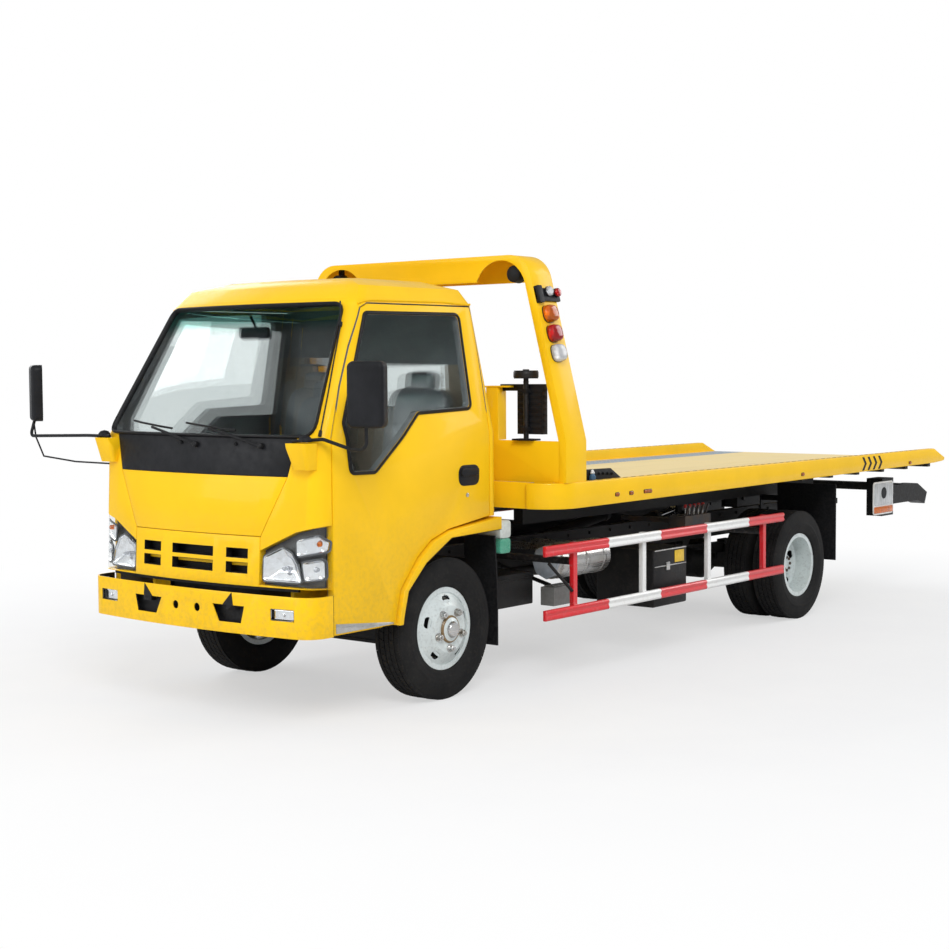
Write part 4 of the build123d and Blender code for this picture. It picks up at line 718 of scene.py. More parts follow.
def finished(mesh, name, body, material, edge=0.0, angle=32, instead_of=()):
    """Rounds the edges, shades it, gives it its finish and hangs it on its body."""
    obj = placed(name, mesh)
    if edge > 0:
        bevel = obj.modifiers.new("edge", "BEVEL")
        bevel.width = edge
        bevel.segments = 2
        bevel.limit_method = "ANGLE"
        bevel.angle_limit = math.radians(ROUNDED_OVER)
        rounded = evaluated_mesh(obj)
        obj.modifiers.clear()
        obj.data = rounded
    obj.data.materials.clear()
    obj.data.materials.append(material)
    obj.data.polygons.foreach_set("use_smooth", [True] * len(obj.data.polygons))
    obj.data.set_sharp_from_angle(angle=math.radians(angle))
    obj.data.name = name
    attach(obj, body)
    if instead_of:
        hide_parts(*instead_of)
    return obj


def merged(node, distance=0.00005):
    """A copy of a node's faces with their shared corners merged."""
    bm = bmesh.new()
    bm.from_mesh(NODES[node].data)
    bmesh.ops.remove_doubles(bm, verts=bm.verts, dist=distance)
    bm.normal_update()
    return bm


def panel(node, name, material, edge=None, angle=30):
    """A node's own shape with its edges rounded as pressed or welded metal has them."""
    source = NODES[node]
    bm = merged(node, 0.00003)
    bmesh.ops.dissolve_limit(bm, angle_limit=math.radians(1.0), verts=bm.verts, edges=bm.edges)
    mesh = mesh_of(bm, name)
    width = sizes().panel_edge if edge is None else edge
    return finished(mesh, name, body_of(source)[0], material, width, angle, (node,))


def coat(material, *nodes):
    """Nodes that keep their own shape get a better finish."""
    for node in nodes:
        for i in range(len(NODES[node].data.materials)):
            NODES[node].data.materials[i] = material


def surface_of(*nodes):
    """A tree for finding where a line meets the nodes."""
    bm = bmesh.new()
    for node in nodes:
        bm.from_mesh(NODES[node].data)
    tree = BVHTree.FromBMesh(bm)
    bm.free()
    return tree


def rounded_outline(points, radius, steps=5):
    """The outline with each corner turned by an arc."""
    out = []
    n = len(points)
    for i, point in enumerate(points):
        here, before, after = Vector(point), Vector(points[i - 1]), Vector(points[(i + 1) % n])
        a, b = (before - here), (after - here)
        cut = min(radius / math.tan(max(a.angle(b) / 2, 0.2)), a.length * 0.45, b.length * 0.45)
        start, end = here + a.normalized() * cut, here + b.normalized() * cut
        for k in range(steps + 1):
            t = k / steps
            out.append(tuple((1 - t) ** 2 * start + 2 * t * (1 - t) * here + t * t * end))
    return out


def rounded_box(low, high, radius, steps=5):
    """A rectangle's outline with rounded corners."""
    corners = [low, (high[0], low[1]), high, (low[0], high[1])]
    return rounded_outline(corners, radius, steps)


def grown(points, distance):
    """The outline moved outwards by a distance."""
    turn = sum(a[0] * b[1] - b[0] * a[1] for a, b in zip(points, [*points[1:], points[0]]))
    distance = math.copysign(distance, turn)
    out = []
    for i, point in enumerate(points):
        here, before, after = Vector(point), Vector(points[i - 1]), Vector(points[(i + 1) % len(points)])
        first, second = (here - before).normalized(), (after - here).normalized()
        normals = Vector((first.y, -first.x)), Vector((second.y, -second.x))
        middle = (normals[0] + normals[1]).normalized()
        out.append(tuple(here + middle * distance / max(middle.dot(normals[0]), 0.4)))
    return out


def divided(points, step, loop=True):
    """Points no further apart than step along the outline."""
    out = []
    pairs = list(zip(points, [*points[1:], points[0]])) if loop else list(zip(points, points[1:]))
    for first, second in pairs:
        a, b = Vector(first), Vector(second)
        parts = max(1, math.ceil((b - a).length / step))
        out += [tuple(a.lerp(b, k / parts)) for k in range(parts)]
    return out if loop else out + [tuple(points[-1])]


def laid_on(tree, points, axis="y", way=1, lift=0.0):
    """Outline points dropped along an axis on a surface. axis "x" takes (y, z) points, "y" takes (x, z)."""
    found = []
    start = -RAY_REACH * way
    for a, b in points:
        origin = Vector((start, a, b)) if axis == "x" else Vector((a, start, b))
        direction = Vector((way, 0, 0)) if axis == "x" else Vector((0, way, 0))
        hit, normal, _, _ = tree.ray_cast(origin, direction)
        if hit is None:
            hit, normal, _, _ = tree.find_nearest(origin + direction * abs(start) * 0.2)
        if normal.dot(direction) > 0:
            normal = -normal
        found.append(hit + normal * lift)
    return found


def seal(name, path, body, radius, flat):
    return Work().tube(path, radius, 8, loop=True, flat=flat).piece(name, body, seal_rubber())


# ---------------------------------------------------------------- repeats


def add_node(tree, kind, feeds=None, **settings):
    """The first output of a new node. feeds holds a socket or a value for each named or numbered input."""
    node = tree.nodes.new(kind)
    for key, value in settings.items():
        setattr(node, key, value)
    for key, value in (feeds or {}).items():
        if hasattr(value, "node"):
            tree.links.new(value, node.inputs[key])
        else:
            node.inputs[key].default_value = value
    return node.outputs[0]


def tree_named(name, inputs, copies):
    """The node tree of that name, made on its first use. copies(tree, given) places the items."""
    if name in bpy.data.node_groups:
        return bpy.data.node_groups[name]
    tree = bpy.data.node_groups.new(name, "GeometryNodeTree")
    tree.interface.new_socket("Geometry", in_out="OUTPUT", socket_type="NodeSocketGeometry")
    tree.interface.new_socket("Item", in_out="INPUT", socket_type="NodeSocketGeometry")
    for label, (kind, value) in inputs.items():
        socket = tree.interface.new_socket(label, in_out="INPUT", socket_type="NodeSocket" + kind)
        socket.default_value = value
    tree.interface.new_socket("Finish", in_out="INPUT", socket_type="NodeSocketMaterial")
    given = tree.nodes.new("NodeGroupInput").outputs
    real = add_node(tree, "GeometryNodeRealizeInstances", {"Geometry": copies(tree, given)})
    coated = add_node(tree, "GeometryNodeSetMaterial", {"Geometry": real, "Material": given["Finish"]})
    tree.links.new(coated, tree.nodes.new("NodeGroupOutput").inputs["Geometry"])
    return tree


def copies_in_ring(tree, given):
    points = add_node(tree, "GeometryNodePoints", {"Count": given["Count"]})
    index = add_node(tree, "GeometryNodeInputIndex")
    share = add_node(tree, "ShaderNodeMath", {0: index, 1: given["Count"]}, operation="DIVIDE")
    turns = {0: share, 1: 2 * math.pi, 2: given["First angle"]}
    angle = add_node(tree, "ShaderNodeMath", turns, operation="MULTIPLY_ADD")
    turn = add_node(tree, "ShaderNodeCombineXYZ", {"X": angle})
    spread = {"Points": points, "Instance": given["Item"], "Rotation": turn}
    copies = add_node(tree, "GeometryNodeInstanceOnPoints", spread)
    return add_node(tree, "GeometryNodeTransform", {"Geometry": copies, "Translation": given["Centre"]})


def copies_in_row(tree, given):
    line = {"Count": given["Count"], "Start Location": given["Start"], "Offset": given["Step"]}
    points = add_node(tree, "GeometryNodeMeshLine", line, mode="OFFSET")
    return add_node(tree, "GeometryNodeInstanceOnPoints", {"Points": points, "Instance": given["Item"]})


def ring_tree():
    """Copies of an item round the X axis, at a centre."""
    inputs = {"Count": ("Int", 12), "Centre": ("Vector", (0, 0, 0)), "First angle": ("Float", 0.0)}
    return tree_named("Ring of items", inputs, copies_in_ring)


def row_tree():
    """Copies of an item in a straight row."""
    inputs = {"Count": ("Int", 12), "Start": ("Vector", (0, 0, 0)), "Step": ("Vector", (0, 0.1, 0))}
    return tree_named("Row of items", inputs, copies_in_row)


def repeated(item, tree, material, **values):
    """A plain mesh of an item's copies. values are the tree's named inputs, with _ for a space."""
    holder = placed("repeat", item)
    modifier = holder.modifiers.new("repeat", "NODES")
    modifier.node_group = tree
    values["Finish"] = material
    for socket in tree.interface.items_tree:
        label = socket.name.replace(" ", "_")
        if socket.in_out == "INPUT" and label in values:
            modifier[socket.identifier] = values[label]
    mesh = evaluated_mesh(holder)
    bpy.data.objects.remove(holder)
    return mesh


def joined(name, *meshes):
    """Several meshes as one."""
    bm = bmesh.new()
    for mesh in meshes:
        bm.from_mesh(mesh)
        bpy.data.meshes.remove(mesh)
    return mesh_of(bm, name)


def hexagon(radius, height, washer=0.0):
    """A nut or bolt head that stands along +X from x = 0."""
    work = Work()
    if washer:
        work.turned([(0, washer), (0.002, washer)], (0, 0, 0), (1, 0, 0), 18)
    base = 0.002 if washer else 0.0
    work.turned(
        [(base, radius), (base + height * 0.8, radius), (base + height, radius * 0.84)], (0, 0, 0),
        (1, 0, 0), 6,
    )
    return work


def turned_over(mesh):
    """A copy of a mesh for the other side of the truck, facing outwards."""
    bm = bmesh.new()
    bm.from_mesh(mesh)
    for vert in bm.verts:
        vert.co.x *= -1
    bmesh.ops.reverse_faces(bm, faces=bm.faces)
    return mesh_of(bm, mesh.name)


# ---------------------------------------------------------------- stage

CAMERA_PLACE = Vector((6.504, -6.876, 1.771))
CAMERA_AZIMUTH, CAMERA_PITCH, CAMERA_ROLL = 38.66, -3.49, -0.32
CAMERA_LENS, SENSOR_WIDTH = 62.79, 36
FLOOR_REACH = 60
FLOOR_MIDDLE = (0, 2.4, 0)
SKY_STRENGTH = 0.50
# Each lamp's name, place, aim, size and power in watts.
STUDIO_LAMPS = (
    ("key", (7.5, -6.5, 8.5), (0, 1.5, 0.8), 5.0, 800),
    ("front_fill", (-4.5, -9.0, 4.5), (0, 0, 1.0), 6.0, 330),
    ("rear_fill", (5.0, 11.0, 6.0), (0, 3.5, 0.8), 6.0, 420),
    ("far_side_fill", (-9.0, 4.0, 5.0), (0, 2.5, 0.9), 6.0, 370),
)


def blended(tree, factor, first, second):
    """A shader that goes from the first to the second with the factor."""
    node = tree.nodes.new("ShaderNodeMixShader")
    for value, socket in zip((factor, first, second), node.inputs):
        tree.links.new(value, socket)
    return node.outputs["Shader"]


def floor_finish():
    """Pale floor that takes shadows and fades to plain white away from the truck."""
    finish = Finish("studio_floor", Roughness=0.9, Specular_IOR_Level=0.1)
    cloud = finish.span(finish.noise(1.2, 3), 0.3, 0.7)
    finish.colour(finish.mix(cloud, (0.80, 0.80, 0.80), (0.76, 0.76, 0.77)))
    matt = finish.shader.outputs["BSDF"]
    white = finish.nodes.new("ShaderNodeEmission")
    white.inputs["Color"].default_value = (1, 1, 1, 1)
    far = finish.vector("DISTANCE", finish.place, FLOOR_MIDDLE, result="Value")
    tree = finish.material.node_tree
    faded = blended(tree, finish.span(far, 3.4, 6.4, 0.55, 1.0), matt, white.outputs["Emission"])
    rays = finish.nodes.new("ShaderNodeLightPath").outputs
    seen = finish.maths("MAXIMUM", rays["Is Camera Ray"], rays["Is Transmission Ray"])
    finish.links.new(blended(tree, seen, matt, faded), finish.nodes["Material Output"].inputs["Surface"])
    return finish.material


def make_world():
    """Even light all round, with plain white where the camera sees past the floor."""
    world = bpy.data.worlds.new("studio")
    bpy.context.scene.world = world
    world.use_nodes = True
    nodes, links = world.node_tree.nodes, world.node_tree.links
    sky = nodes["Background"]
    sky.inputs["Color"].default_value = (0.93, 0.96, 1.0, 1)
    sky.inputs["Strength"].default_value = SKY_STRENGTH
    shown = nodes.new("ShaderNodeBackground")
    shown.inputs["Color"].default_value = (1, 1, 1, 1)
    rays = nodes.new("ShaderNodeLightPath")
    seen = nodes.new("ShaderNodeMath")
    seen.operation = "MAXIMUM"
    for kind, socket in zip(("Is Camera Ray", "Is Transmission Ray"), seen.inputs):
        links.new(rays.outputs[kind], socket)
    backdrop = blended(
        world.node_tree, seen.outputs["Value"], sky.outputs["Background"], shown.outputs["Background"],
    )
    links.new(backdrop, nodes["World Output"].inputs["Surface"])


def make_camera():
    azimuth, pitch, roll = [math.radians(a) for a in (CAMERA_AZIMUTH, CAMERA_PITCH, CAMERA_ROLL)]
    level = math.cos(pitch)
    view = Vector((-math.sin(azimuth) * level, math.cos(azimuth) * level, math.sin(pitch)))
    right = view.cross(Vector((0, 0, 1))).normalized()
    right = right * math.cos(roll) + right.cross(view) * math.sin(roll)
    camera = bpy.data.cameras.new("camera")
    camera.lens = CAMERA_LENS
    camera.sensor_width = SENSOR_WIDTH
    camera.clip_end = 500
    holder = placed("camera", camera)
    turn = Matrix((right, right.cross(view), -view)).transposed()
    holder.matrix_world = Matrix.Translation(CAMERA_PLACE) @ turn.to_4x4()
    bpy.context.scene.camera = holder


def make_stage():
    bpy.context.scene.view_settings.view_transform = "Standard"
    low, high = (-FLOOR_REACH, -FLOOR_REACH, -0.02), (FLOOR_REACH, FLOOR_REACH, -0.0005)
    floor = placed("floor", Work().box(low, high).mesh("floor"))
    floor.data.materials.append(floor_finish())
    make_world()
    for name, place, aim, size, power in STUDIO_LAMPS:
        lamp = bpy.data.lights.new(name, "AREA")
        lamp.size = size
        lamp.energy = power
        holder = placed(name, lamp)
        holder.location = place
        holder.rotation_euler = (Vector(aim) - Vector(place)).to_track_quat("-Z", "Y").to_euler()
    make_camera()


# ---------------------------------------------------------------- cab


def make_cab_shell():
    yellow = body_paint()
    for node in ("front_panels", "door_left", "door_right", "cab_roof", "cab_rear_wall", "screen_frame"):
        panel(node, node + "_panel", yellow)
    panel("wheel_arches", "wheel_arches_panel", yellow, angle=48)
    panel("cowl", "cowl_panel", moulded_plastic(), 0.005)
    coat(body_paint(), "cab_floor")


def make_glass():
    coat(screen_glass(), "cab_glass")
    coat(clear_glass(), "door_glass_left", "door_glass_right")
    radius = sizes().seal_radius
    screen = surface_of("screen_frame", "cab_glass", "cowl")
    outline = divided(
        rounded_outline([(x * 1.006, z + (0.004 if z > 2 else -0.002)) for x, z in SCREEN], 0.06), 0.045,
    )
    path = laid_on(screen, outline, lift=0.002)
    seal("windscreen_seal", path, "cab", radius * 1.5, flat=0.55)
    for way, side, body in ((-1, "left", "left_door"), (1, "right", "right_door")):
        door = surface_of("door_" + side)
        outline = divided(rounded_outline(grown(SIDE_WINDOW, 0.009), 0.04), 0.04)
        path = laid_on(door, outline, "x", way, 0.0015)
        seal("door_window_seal_" + side, path, body, radius * 1.15, flat=0.6)
    rear = surface_of("cab_rear_wall")
    path = laid_on(
        rear, divided(rounded_outline([(x * 1.01, z) for x, z in REAR_WINDOW], 0.05), 0.05), "y", -1, 0.001,
    )
    seal("rear_window_seal", path, "cab", radius, flat=0.6)


def make_wipers():
    front = surface_of("cowl", "cab_glass", "screen_frame")
    work = Work()
    for pivot, middle, ends in (
        ((0.02, 1.415), (-0.36, 1.490), ((-0.57, 1.520), (-0.20, 1.486))),
        ((0.47, 1.415), (0.10, 1.490), ((-0.10, 1.516), (0.28, 1.482))),
    ):
        base, foot, a, b = laid_on(front, [pivot, middle, *ends], lift=0.012)
        work.turned([(-0.012, 0.016), (0.008, 0.016), (0.014, 0.010)], base, (0, -1, 0.2), 16)
        knee = base.lerp(foot, 0.45) + Vector((0, -0.022, 0.006))
        work.tube([base + Vector((0, -0.008, 0)), knee, foot + Vector((0, -0.014, 0))], 0.007, 8)
        mid = a.lerp(b, 0.5) + Vector((0, -0.012, 0))
        bow = Vector((0, -0.006, 0))
        work.tube([a, a.lerp(mid, 0.5) + bow, mid, b.lerp(mid, 0.5) + bow, b], 0.006, 8)
    for x in (-0.10, 0.30):
        (nozzle,) = laid_on(front, [(x, 1.42)], lift=0.002)
        work.turned([(0, 0.010), (0.010, 0.008), (0.014, 0.004)], nozzle, (0, -0.8, 0.6), 12)
    work.piece("wipers_and_nozzles", "cab", seal_rubber())
    pillar = surface_of("screen_frame", "door_left")
    foot, *rest = laid_on(pillar, [(0.800, 1.47), (0.760, 1.66), (0.715, 1.86), (0.680, 2.02)], lift=0.012)
    rod = Work().tube([foot, *rest, rest[-1] + Vector((-0.03, 0.03, 0.12))], 0.004, 8)
    rod.turned([(-0.01, 0.010), (0.02, 0.008)], foot, rest[0] - foot, 12)
    rod.turned([(-0.012, 0.008), (0.012, 0.008)], rest[-1], rest[-1] - rest[-2], 12)
    rod.piece("aerial", "cab", seal_rubber())


def lens_faces(node, side):
    """The outer skin of a flush lamp, as a bmesh."""
    bm = merged(node)
    unwanted = []
    for face in bm.faces:
        middle, normal = face.calc_center_median(), face.normal
        outer = normal.y < -0.18 or (side * normal.x > 0.8 and side * middle.x > 0.80)
        if side * middle.x < 0 or not outer:
            unwanted.append(face)
    bmesh.ops.delete(bm, geom=unwanted, context="FACES")
    return bm


def shell_piece(bm, name, body, material, shift=0.0, instead_of=()):
    """A sheet of faces, moved back by the shift and given a thin wall behind it."""
    bm.normal_update()
    if shift:
        for vert, normal in [(v, v.normal.copy()) for v in bm.verts]:
            vert.co -= normal * shift
    obj = placed(name, mesh_of(bm, name))
    wall = obj.modifiers.new("wall", "SOLIDIFY")
    wall.thickness = SHEET
    wall.offset = -1
    solid = evaluated_mesh(obj)
    bpy.data.objects.remove(obj)
    return finished(solid, name, body, material, 0, 30, instead_of)


def lining(node, name, body, material, keep):
    """A thin sheet over those faces of a node that keep(middle, normal) picks."""
    bm = merged(node)
    rest = [face for face in bm.faces if not keep(face.calc_center_median(), face.normal)]
    bmesh.ops.delete(bm, geom=rest, context="FACES")
    shell_piece(bm, name, body, material, -LINING_LIFT)


def looks_inwards(place, normal, share=0.25):
    """Whether a face of the cab looks towards the middle of the cab."""
    return normal.dot((Vector((0, -0.3, 1.5)) - place).normalized()) > share


# Side walls of the grille slots, which get a black sheet as painted shade.
def in_grille_slot(place, normal):
    within = 0.76 < place.z < 0.90 and abs(place.x) < 0.41 and place.y < -1.02
    return within and abs(normal.y) < 0.5


def faces_wheel(place, normal):
    return normal.y * -place.y + normal.z * (AXLE_Z - place.z) > 0.2


def make_linings():
    for side, word in SIDES:
        def inside(place, normal, side=side):
            reveal = -0.84 < place.y < 0.22 and 1.27 < place.z < 2.10 and abs(normal.x) < 0.5
            return reveal or side * normal.x < -0.3
        lining("door_" + word, "door_lining_" + word, word + "_door", dash_plastic(), inside)
    beige = plain("cab_trim_beige", (0.26, 0.21, 0.16), 0.75)
    lining(
        "cab_rear_wall", "rear_wall_lining", "cab", beige, lambda p,
        n: looks_inwards(p, n) and abs(p.x) < 0.80,
    )
    cloth = plain("headliner_cloth", (0.33, 0.27, 0.21), 0.9)
    lining("cab_roof", "headliner", "cab", cloth, lambda p, n: looks_inwards(p, n) and p.z > 2.17)
    lining(
        "screen_frame", "pillar_linings", "cab", dash_plastic(), lambda p,
        n: looks_inwards(p, n) and p.z < 2.15,
    )
    # Painted shade: a black sheet over the grille slots' side walls, dark recesses in the yellow front
    # panel.
    lining("front_panels", "grille_slot_linings", "cab", seal_rubber(), in_grille_slot)
    mat = plain("floor_mat_rubber", (0.03, 0.03, 0.033), 0.8)
    lining("cab_floor", "floor_mat", "cab", mat, lambda p, n: n.z > 0.8)
    lining("wheel_arches", "arch_undersides", "cab", moulded_plastic(), faces_wheel)


LAMP_WINDOWS = (
    (
        "main",
        [(0.496, 0.738), (0.496, 0.856), (0.606, 0.905), (0.660, 0.880), (0.700, 0.818), (0.728, 0.738)],
        0.040, (0.612, 0.800),
    ),
    (
        "turn", [(0.698, 0.868), (0.694, 0.944), (0.800, 0.972), (0.828, 0.940), (0.826, 0.892)], 0.026,
        (0.800, 0.930),
    ),
    ("side", [(0.746, 0.748), (0.730, 0.836), (0.820, 0.852), (0.822, 0.756)], 0.026, (0.790, 0.802)),
)


def pan(work, tree, side, outline, depth):
    """A dished reflector whose rim follows the lamp's skin."""
    middle = sum((Vector(p) for p in outline), Vector((0, 0))) / len(outline)
    shape = [Vector(p) for p in rounded_outline(outline, 0.016, 4)]
    rings = []
    for share, back in (
        (0.40, depth + 0.002), (1.02, 0.012), (1.02, 0.005), (1.0, 0.005), (0.90, depth * 0.55),
        (0.70, depth * 0.85), (0.38, depth),
    ):
        points = [middle + (p - middle) * share for p in shape]
        found = laid_on(tree, [(side * x, z) for x, z in points])
        rings.append([p + Vector((0, back, 0)) for p in found])
    return work.skin(rings)


def make_headlamps():
    for side, word in SIDES:
        lens = lens_faces("headlamps", side)
        tree = BVHTree.FromBMesh(lens)
        shell_piece(
            lens, "headlamp_lens_" + word, "cab", clear_lens(), 0.0, ("headlamps",) if side == 1 else (),
        )
        bezel = lens_faces("headlamps", side)
        shell_piece(bezel, "headlamp_bezel_" + word, "cab", grey_plastic(), BEZEL_DEPTH)
        rims, bowls, bulbs, spots = Work(), Work(), Work(), Work()
        for kind, outline, depth, bulb in LAMP_WINDOWS:
            pan(bowls, tree, side, outline, depth)
            rim = rounded_outline(grown(outline, 0.006), 0.02, 4)
            path = laid_on(tree, [(side * x, z) for x, z in divided(rim, 0.02)])
            rims.tube([p + Vector((0, 0.009, 0)) for p in path], 0.0055, 6, loop=True)
            (seat,) = laid_on(tree, [(side * bulb[0], bulb[1])])
            seat += Vector((0, depth * 0.9, 0))
            target = spots if kind == "turn" else bulbs
            target.turned(
                [(0, 0.013), (depth * 0.45, 0.013), (depth * 0.62, 0.010), (depth * 0.68, 0.0)], seat,
                (0, -1, 0), 16,
            )
        bowls.piece("headlamp_reflectors_" + word, "cab", chrome(), angle=24)
        rims.piece("headlamp_rims_" + word, "cab", grey_plastic())
        bulbs.piece("headlamp_bulbs_" + word, "cab", lamp_glass("bulb", (0.80, 0.82, 0.86)))
        spots.piece("turn_bulb_" + word, "cab", lamp_glass("orange", AMBER))
    work = Work().box((-0.462, -1.030, 0.725), (0.462, -1.024, 0.950))
    fin = Work().box((-0.455, -0.0015, -0.002), (0.455, 0.0015, 0.002)).mesh("fin")
    fins = repeated(fin, row_tree(), seal_rubber(), Count=26, Start=(0, -1.034, 0.732), Step=(0, 0, 0.0084))
    mesh = joined("grille_backing", work.mesh("sheet"), fins)
    finished(mesh, "grille_backing", "cab", seal_rubber())


def make_bumper():
    panel("bumper", "bumper_panel", body_paint(), 0.006)
    # Painted shade: the yellow bumper's back and inward faces and its brackets get black rubber.
    def in_bumper_shade(place, normal):
        bracket = 0.27 < abs(place.x) < 0.37 and 0.57 < place.z < 0.64 and place.y > -1.141
        return bracket or normal.y > 0.2 or normal.x * place.x < -0.2
    lining("bumper", "bumper_inside", "chassis", seal_rubber(), in_bumper_shade)
    # Painted shade: a black sheet behind the bumper, where only shade is seen.
    backing = Work().box((-0.45, -1.104, 0.495), (0.45, -1.098, 0.655))
    backing.piece("bumper_backing", "chassis", seal_rubber(), 0.001)
    xs = [i * 0.08 for i in range(-10, 11)]
    # Painted shade: a black strip behind the front panels' lower edge, in the gap above the bumper.
    skin = laid_on(surface_of("front_panels"), [(x, 0.715) for x in xs])
    strip = [(p.x, p.y + 0.014) for p in skin] + [(p.x, p.y + 0.030) for p in reversed(skin)]
    under = Work().skin([[(x, y, z) for x, y in strip] for z in (0.688, 0.7045)])
    under.piece("front_lower_strip", "cab", seal_rubber())
    recess, glass, reflector = Work(), Work(), Work()
    front = surface_of("fog_lamps")
    for side in (1, -1):
        def layer(half_w, half_h, corner, *depths):
            square = [(-half_w, -half_h), (half_w, -half_h), (half_w, half_h), (-half_w, half_h)]
            shape = [(side * 0.662 + a, 0.578 + b) for a, b in rounded_outline(square, corner)]
            return [[p + Vector((0, d, 0)) for p in laid_on(front, shape)] for d in depths]
        recess.skin(layer(0.073, 0.028, 0.010, 0.030, 0.042))
        glass.skin(layer(0.073, 0.028, 0.010, 0.0, 0.005))
        reflector.skin(layer(0.066, 0.023, 0.008, 0.014, 0.028))
        seat = layer(0.001, 0.001, 0.0005, 0.016)[0][0]
        reflector.turned([(0, 0.010), (0.009, 0.008)], seat, (0, -1, 0), 16)
    recess.piece("fog_lamp_bodies", "chassis", grey_plastic(), 0.001)
    glass.piece("fog_lamp_lenses", "chassis", clear_lens(), 0.001, instead_of=("fog_lamps",))
    reflector.piece("fog_lamp_reflectors", "chassis", chrome(), 0.002)


def make_door_furniture():
    for side, word in SIDES:
        tree = surface_of("door_" + word)
        body = word + "_door"
        hit, _, _, _ = tree.ray_cast(Vector((side * 2, 0.155, 1.217)), Vector((-side, 0, 0)))
        x = hit.x
        oval = rounded_box((0.066, 1.160), (0.245, 1.274), 0.05, 8)
        work = Work().prism("x", oval, x - side * 0.004, x + side * 0.003)
        grip = rounded_outline([(0.080, 1.212), (0.232, 1.218), (0.232, 1.258), (0.080, 1.256)], 0.02, 6)
        work.prism("x", grip, x, x + side * 0.014)
        work.piece("door_handle_" + word, body, moulded_plastic(), 0.004)
        hit, _, _, _ = tree.ray_cast(Vector((side * 2, -0.70, 0.500)), Vector((-side, 0, 0)))
        strip = [(-0.910, 0.476), (-0.910, 0.526), (-0.480, 0.486), (-0.472, 0.476)]
        sill = Work().prism("x", strip, hit.x - side * 0.001, hit.x + side * 0.003)
        sill.piece("step_strip_" + word, body, bright_steel(), 0.001)
        lock = Work().turned(
            [(0, 0.012), (0.004, 0.012), (0.005, 0.010)], (x, 0.140, 1.110), (side, 0, 0), 20,
        )
        lock.piece("door_lock_" + word, body, bright_steel())
        roof = surface_of("cab_roof", "screen_frame", "door_" + word)
        gutter = []
        for y, z in divided([(-0.60, 2.150), (-0.48, 2.168), (0.10, 2.176), (0.34, 2.160)], 0.06, False):
            hit, normal, _, _ = roof.find_nearest(Vector((side * 0.735, y, z)))
            gutter.append(hit + normal * 0.004)
        Work().tube(gutter, 0.008, 8, flat=0.7).piece("rain_gutter_" + word, "cab", body_paint())
        pull = Work().tube(
            [
                (side * 0.752, -0.10, 1.30), (side * 0.735, -0.10, 1.30), (side * 0.735, 0.08, 1.32),
                (side * 0.752, 0.08, 1.32),
            ],
            0.010, 8,
        )
        pull.piece("inner_door_pull_" + word, body, dash_plastic())


def crowned(centre, half, turn, channels):
    """A closed padded block: crowned faces, pulled-in edges and sewn channels across it."""
    rings, steps, around = [], 18, 40
    def bend(v):
        return math.copysign(abs(v) ** PAD_SQUARENESS, v)
    for i in range(steps + 1):
        lat = -math.pi / 2 + math.pi * i / steps
        ring = []
        for k in range(around):
            lon = 2 * math.pi * k / around
            x = bend(math.cos(lat)) * bend(math.cos(lon))
            y = bend(math.cos(lat)) * bend(math.sin(lon))
            z = bend(math.sin(lat))
            sink = 1.0
            for at in channels:
                sink -= 0.10 * math.exp(-((x - at) / 0.045) ** 2)
            sunk = (1, sink, 1) if half[1] < half[2] else (1, 1, sink)
            ring.append([v * h * deep for v, h, deep in zip((x, y, z), half, sunk)])
        rings.append(ring)
    spin = Matrix.Rotation(turn, 3, "X")
    return [[Vector(centre) + spin @ Vector(p) for p in ring] for ring in rings]


def make_interior():
    for side, word in SIDES:
        x = side * SEAT_X
        parts = (
            ("seat_cushion_", (x, 0.02, 1.10), (0.225, 0.265, 0.075), 0.06),
            ("seat_back_", (x, 0.235, 1.42), (0.225, 0.060, 0.275), -0.16),
            ("head_rest_", (x, 0.285, 1.725), (0.110, 0.042, 0.058), -0.16),
        )
        for i, (name, centre, half, turn) in enumerate(parts):
            rings = crowned(centre, half, turn, channels=(-0.45, 0.45) if i < 2 else ())
            instead = ("seats",) if side == 1 and i == 0 else ()
            piece = Work().skin(rings).piece(name + word, "cab", seat_cover(), angle=180, instead_of=instead)
    base = Work()
    for x in (-SEAT_X, SEAT_X):
        base.box((x - 0.18, -0.18, 1.021), (x + 0.18, 0.22, 1.040))
        for k in (-0.05, 0.05):
            base.tube([(x + k, 0.27, 1.62), (x + k, 0.28, 1.70)], 0.006, 8)
    base.piece("seat_bases", "cab", frame_paint(), 0.004)
    panel("dashboard", "dashboard_moulding", dash_plastic(), 0.012)
    coat(moulded_plastic(), "steering_wheel")
    dark = Work()
    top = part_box("dashboard")[1].z
    dark.box((-0.14, -0.79, top - 0.10), (0.14, -0.672, top - 0.02))
    for x in (-0.60, -0.24, 0.16, 0.64):
        dark.box((x - 0.05, -0.70, top - 0.10), (x + 0.05, -0.674, top - 0.05))
    dark.turned(
        [(0, 0.012), (0.10, 0.010), (0.11, 0.020), (0.13, 0.018)], (0.02, -0.62, 1.02), (0, 0.2, 1), 16,
    )
    dark.tube([(0.0, -0.66, 2.085), (0.0, -0.63, 2.04), (0.0, -0.625, 2.02)], 0.008, 8)
    dark.prism("y", rounded_box((-0.11, 1.965), (0.11, 2.025), 0.02), -0.645, -0.622)
    dark.piece("dash_fittings", "cab", moulded_plastic(), 0.004)


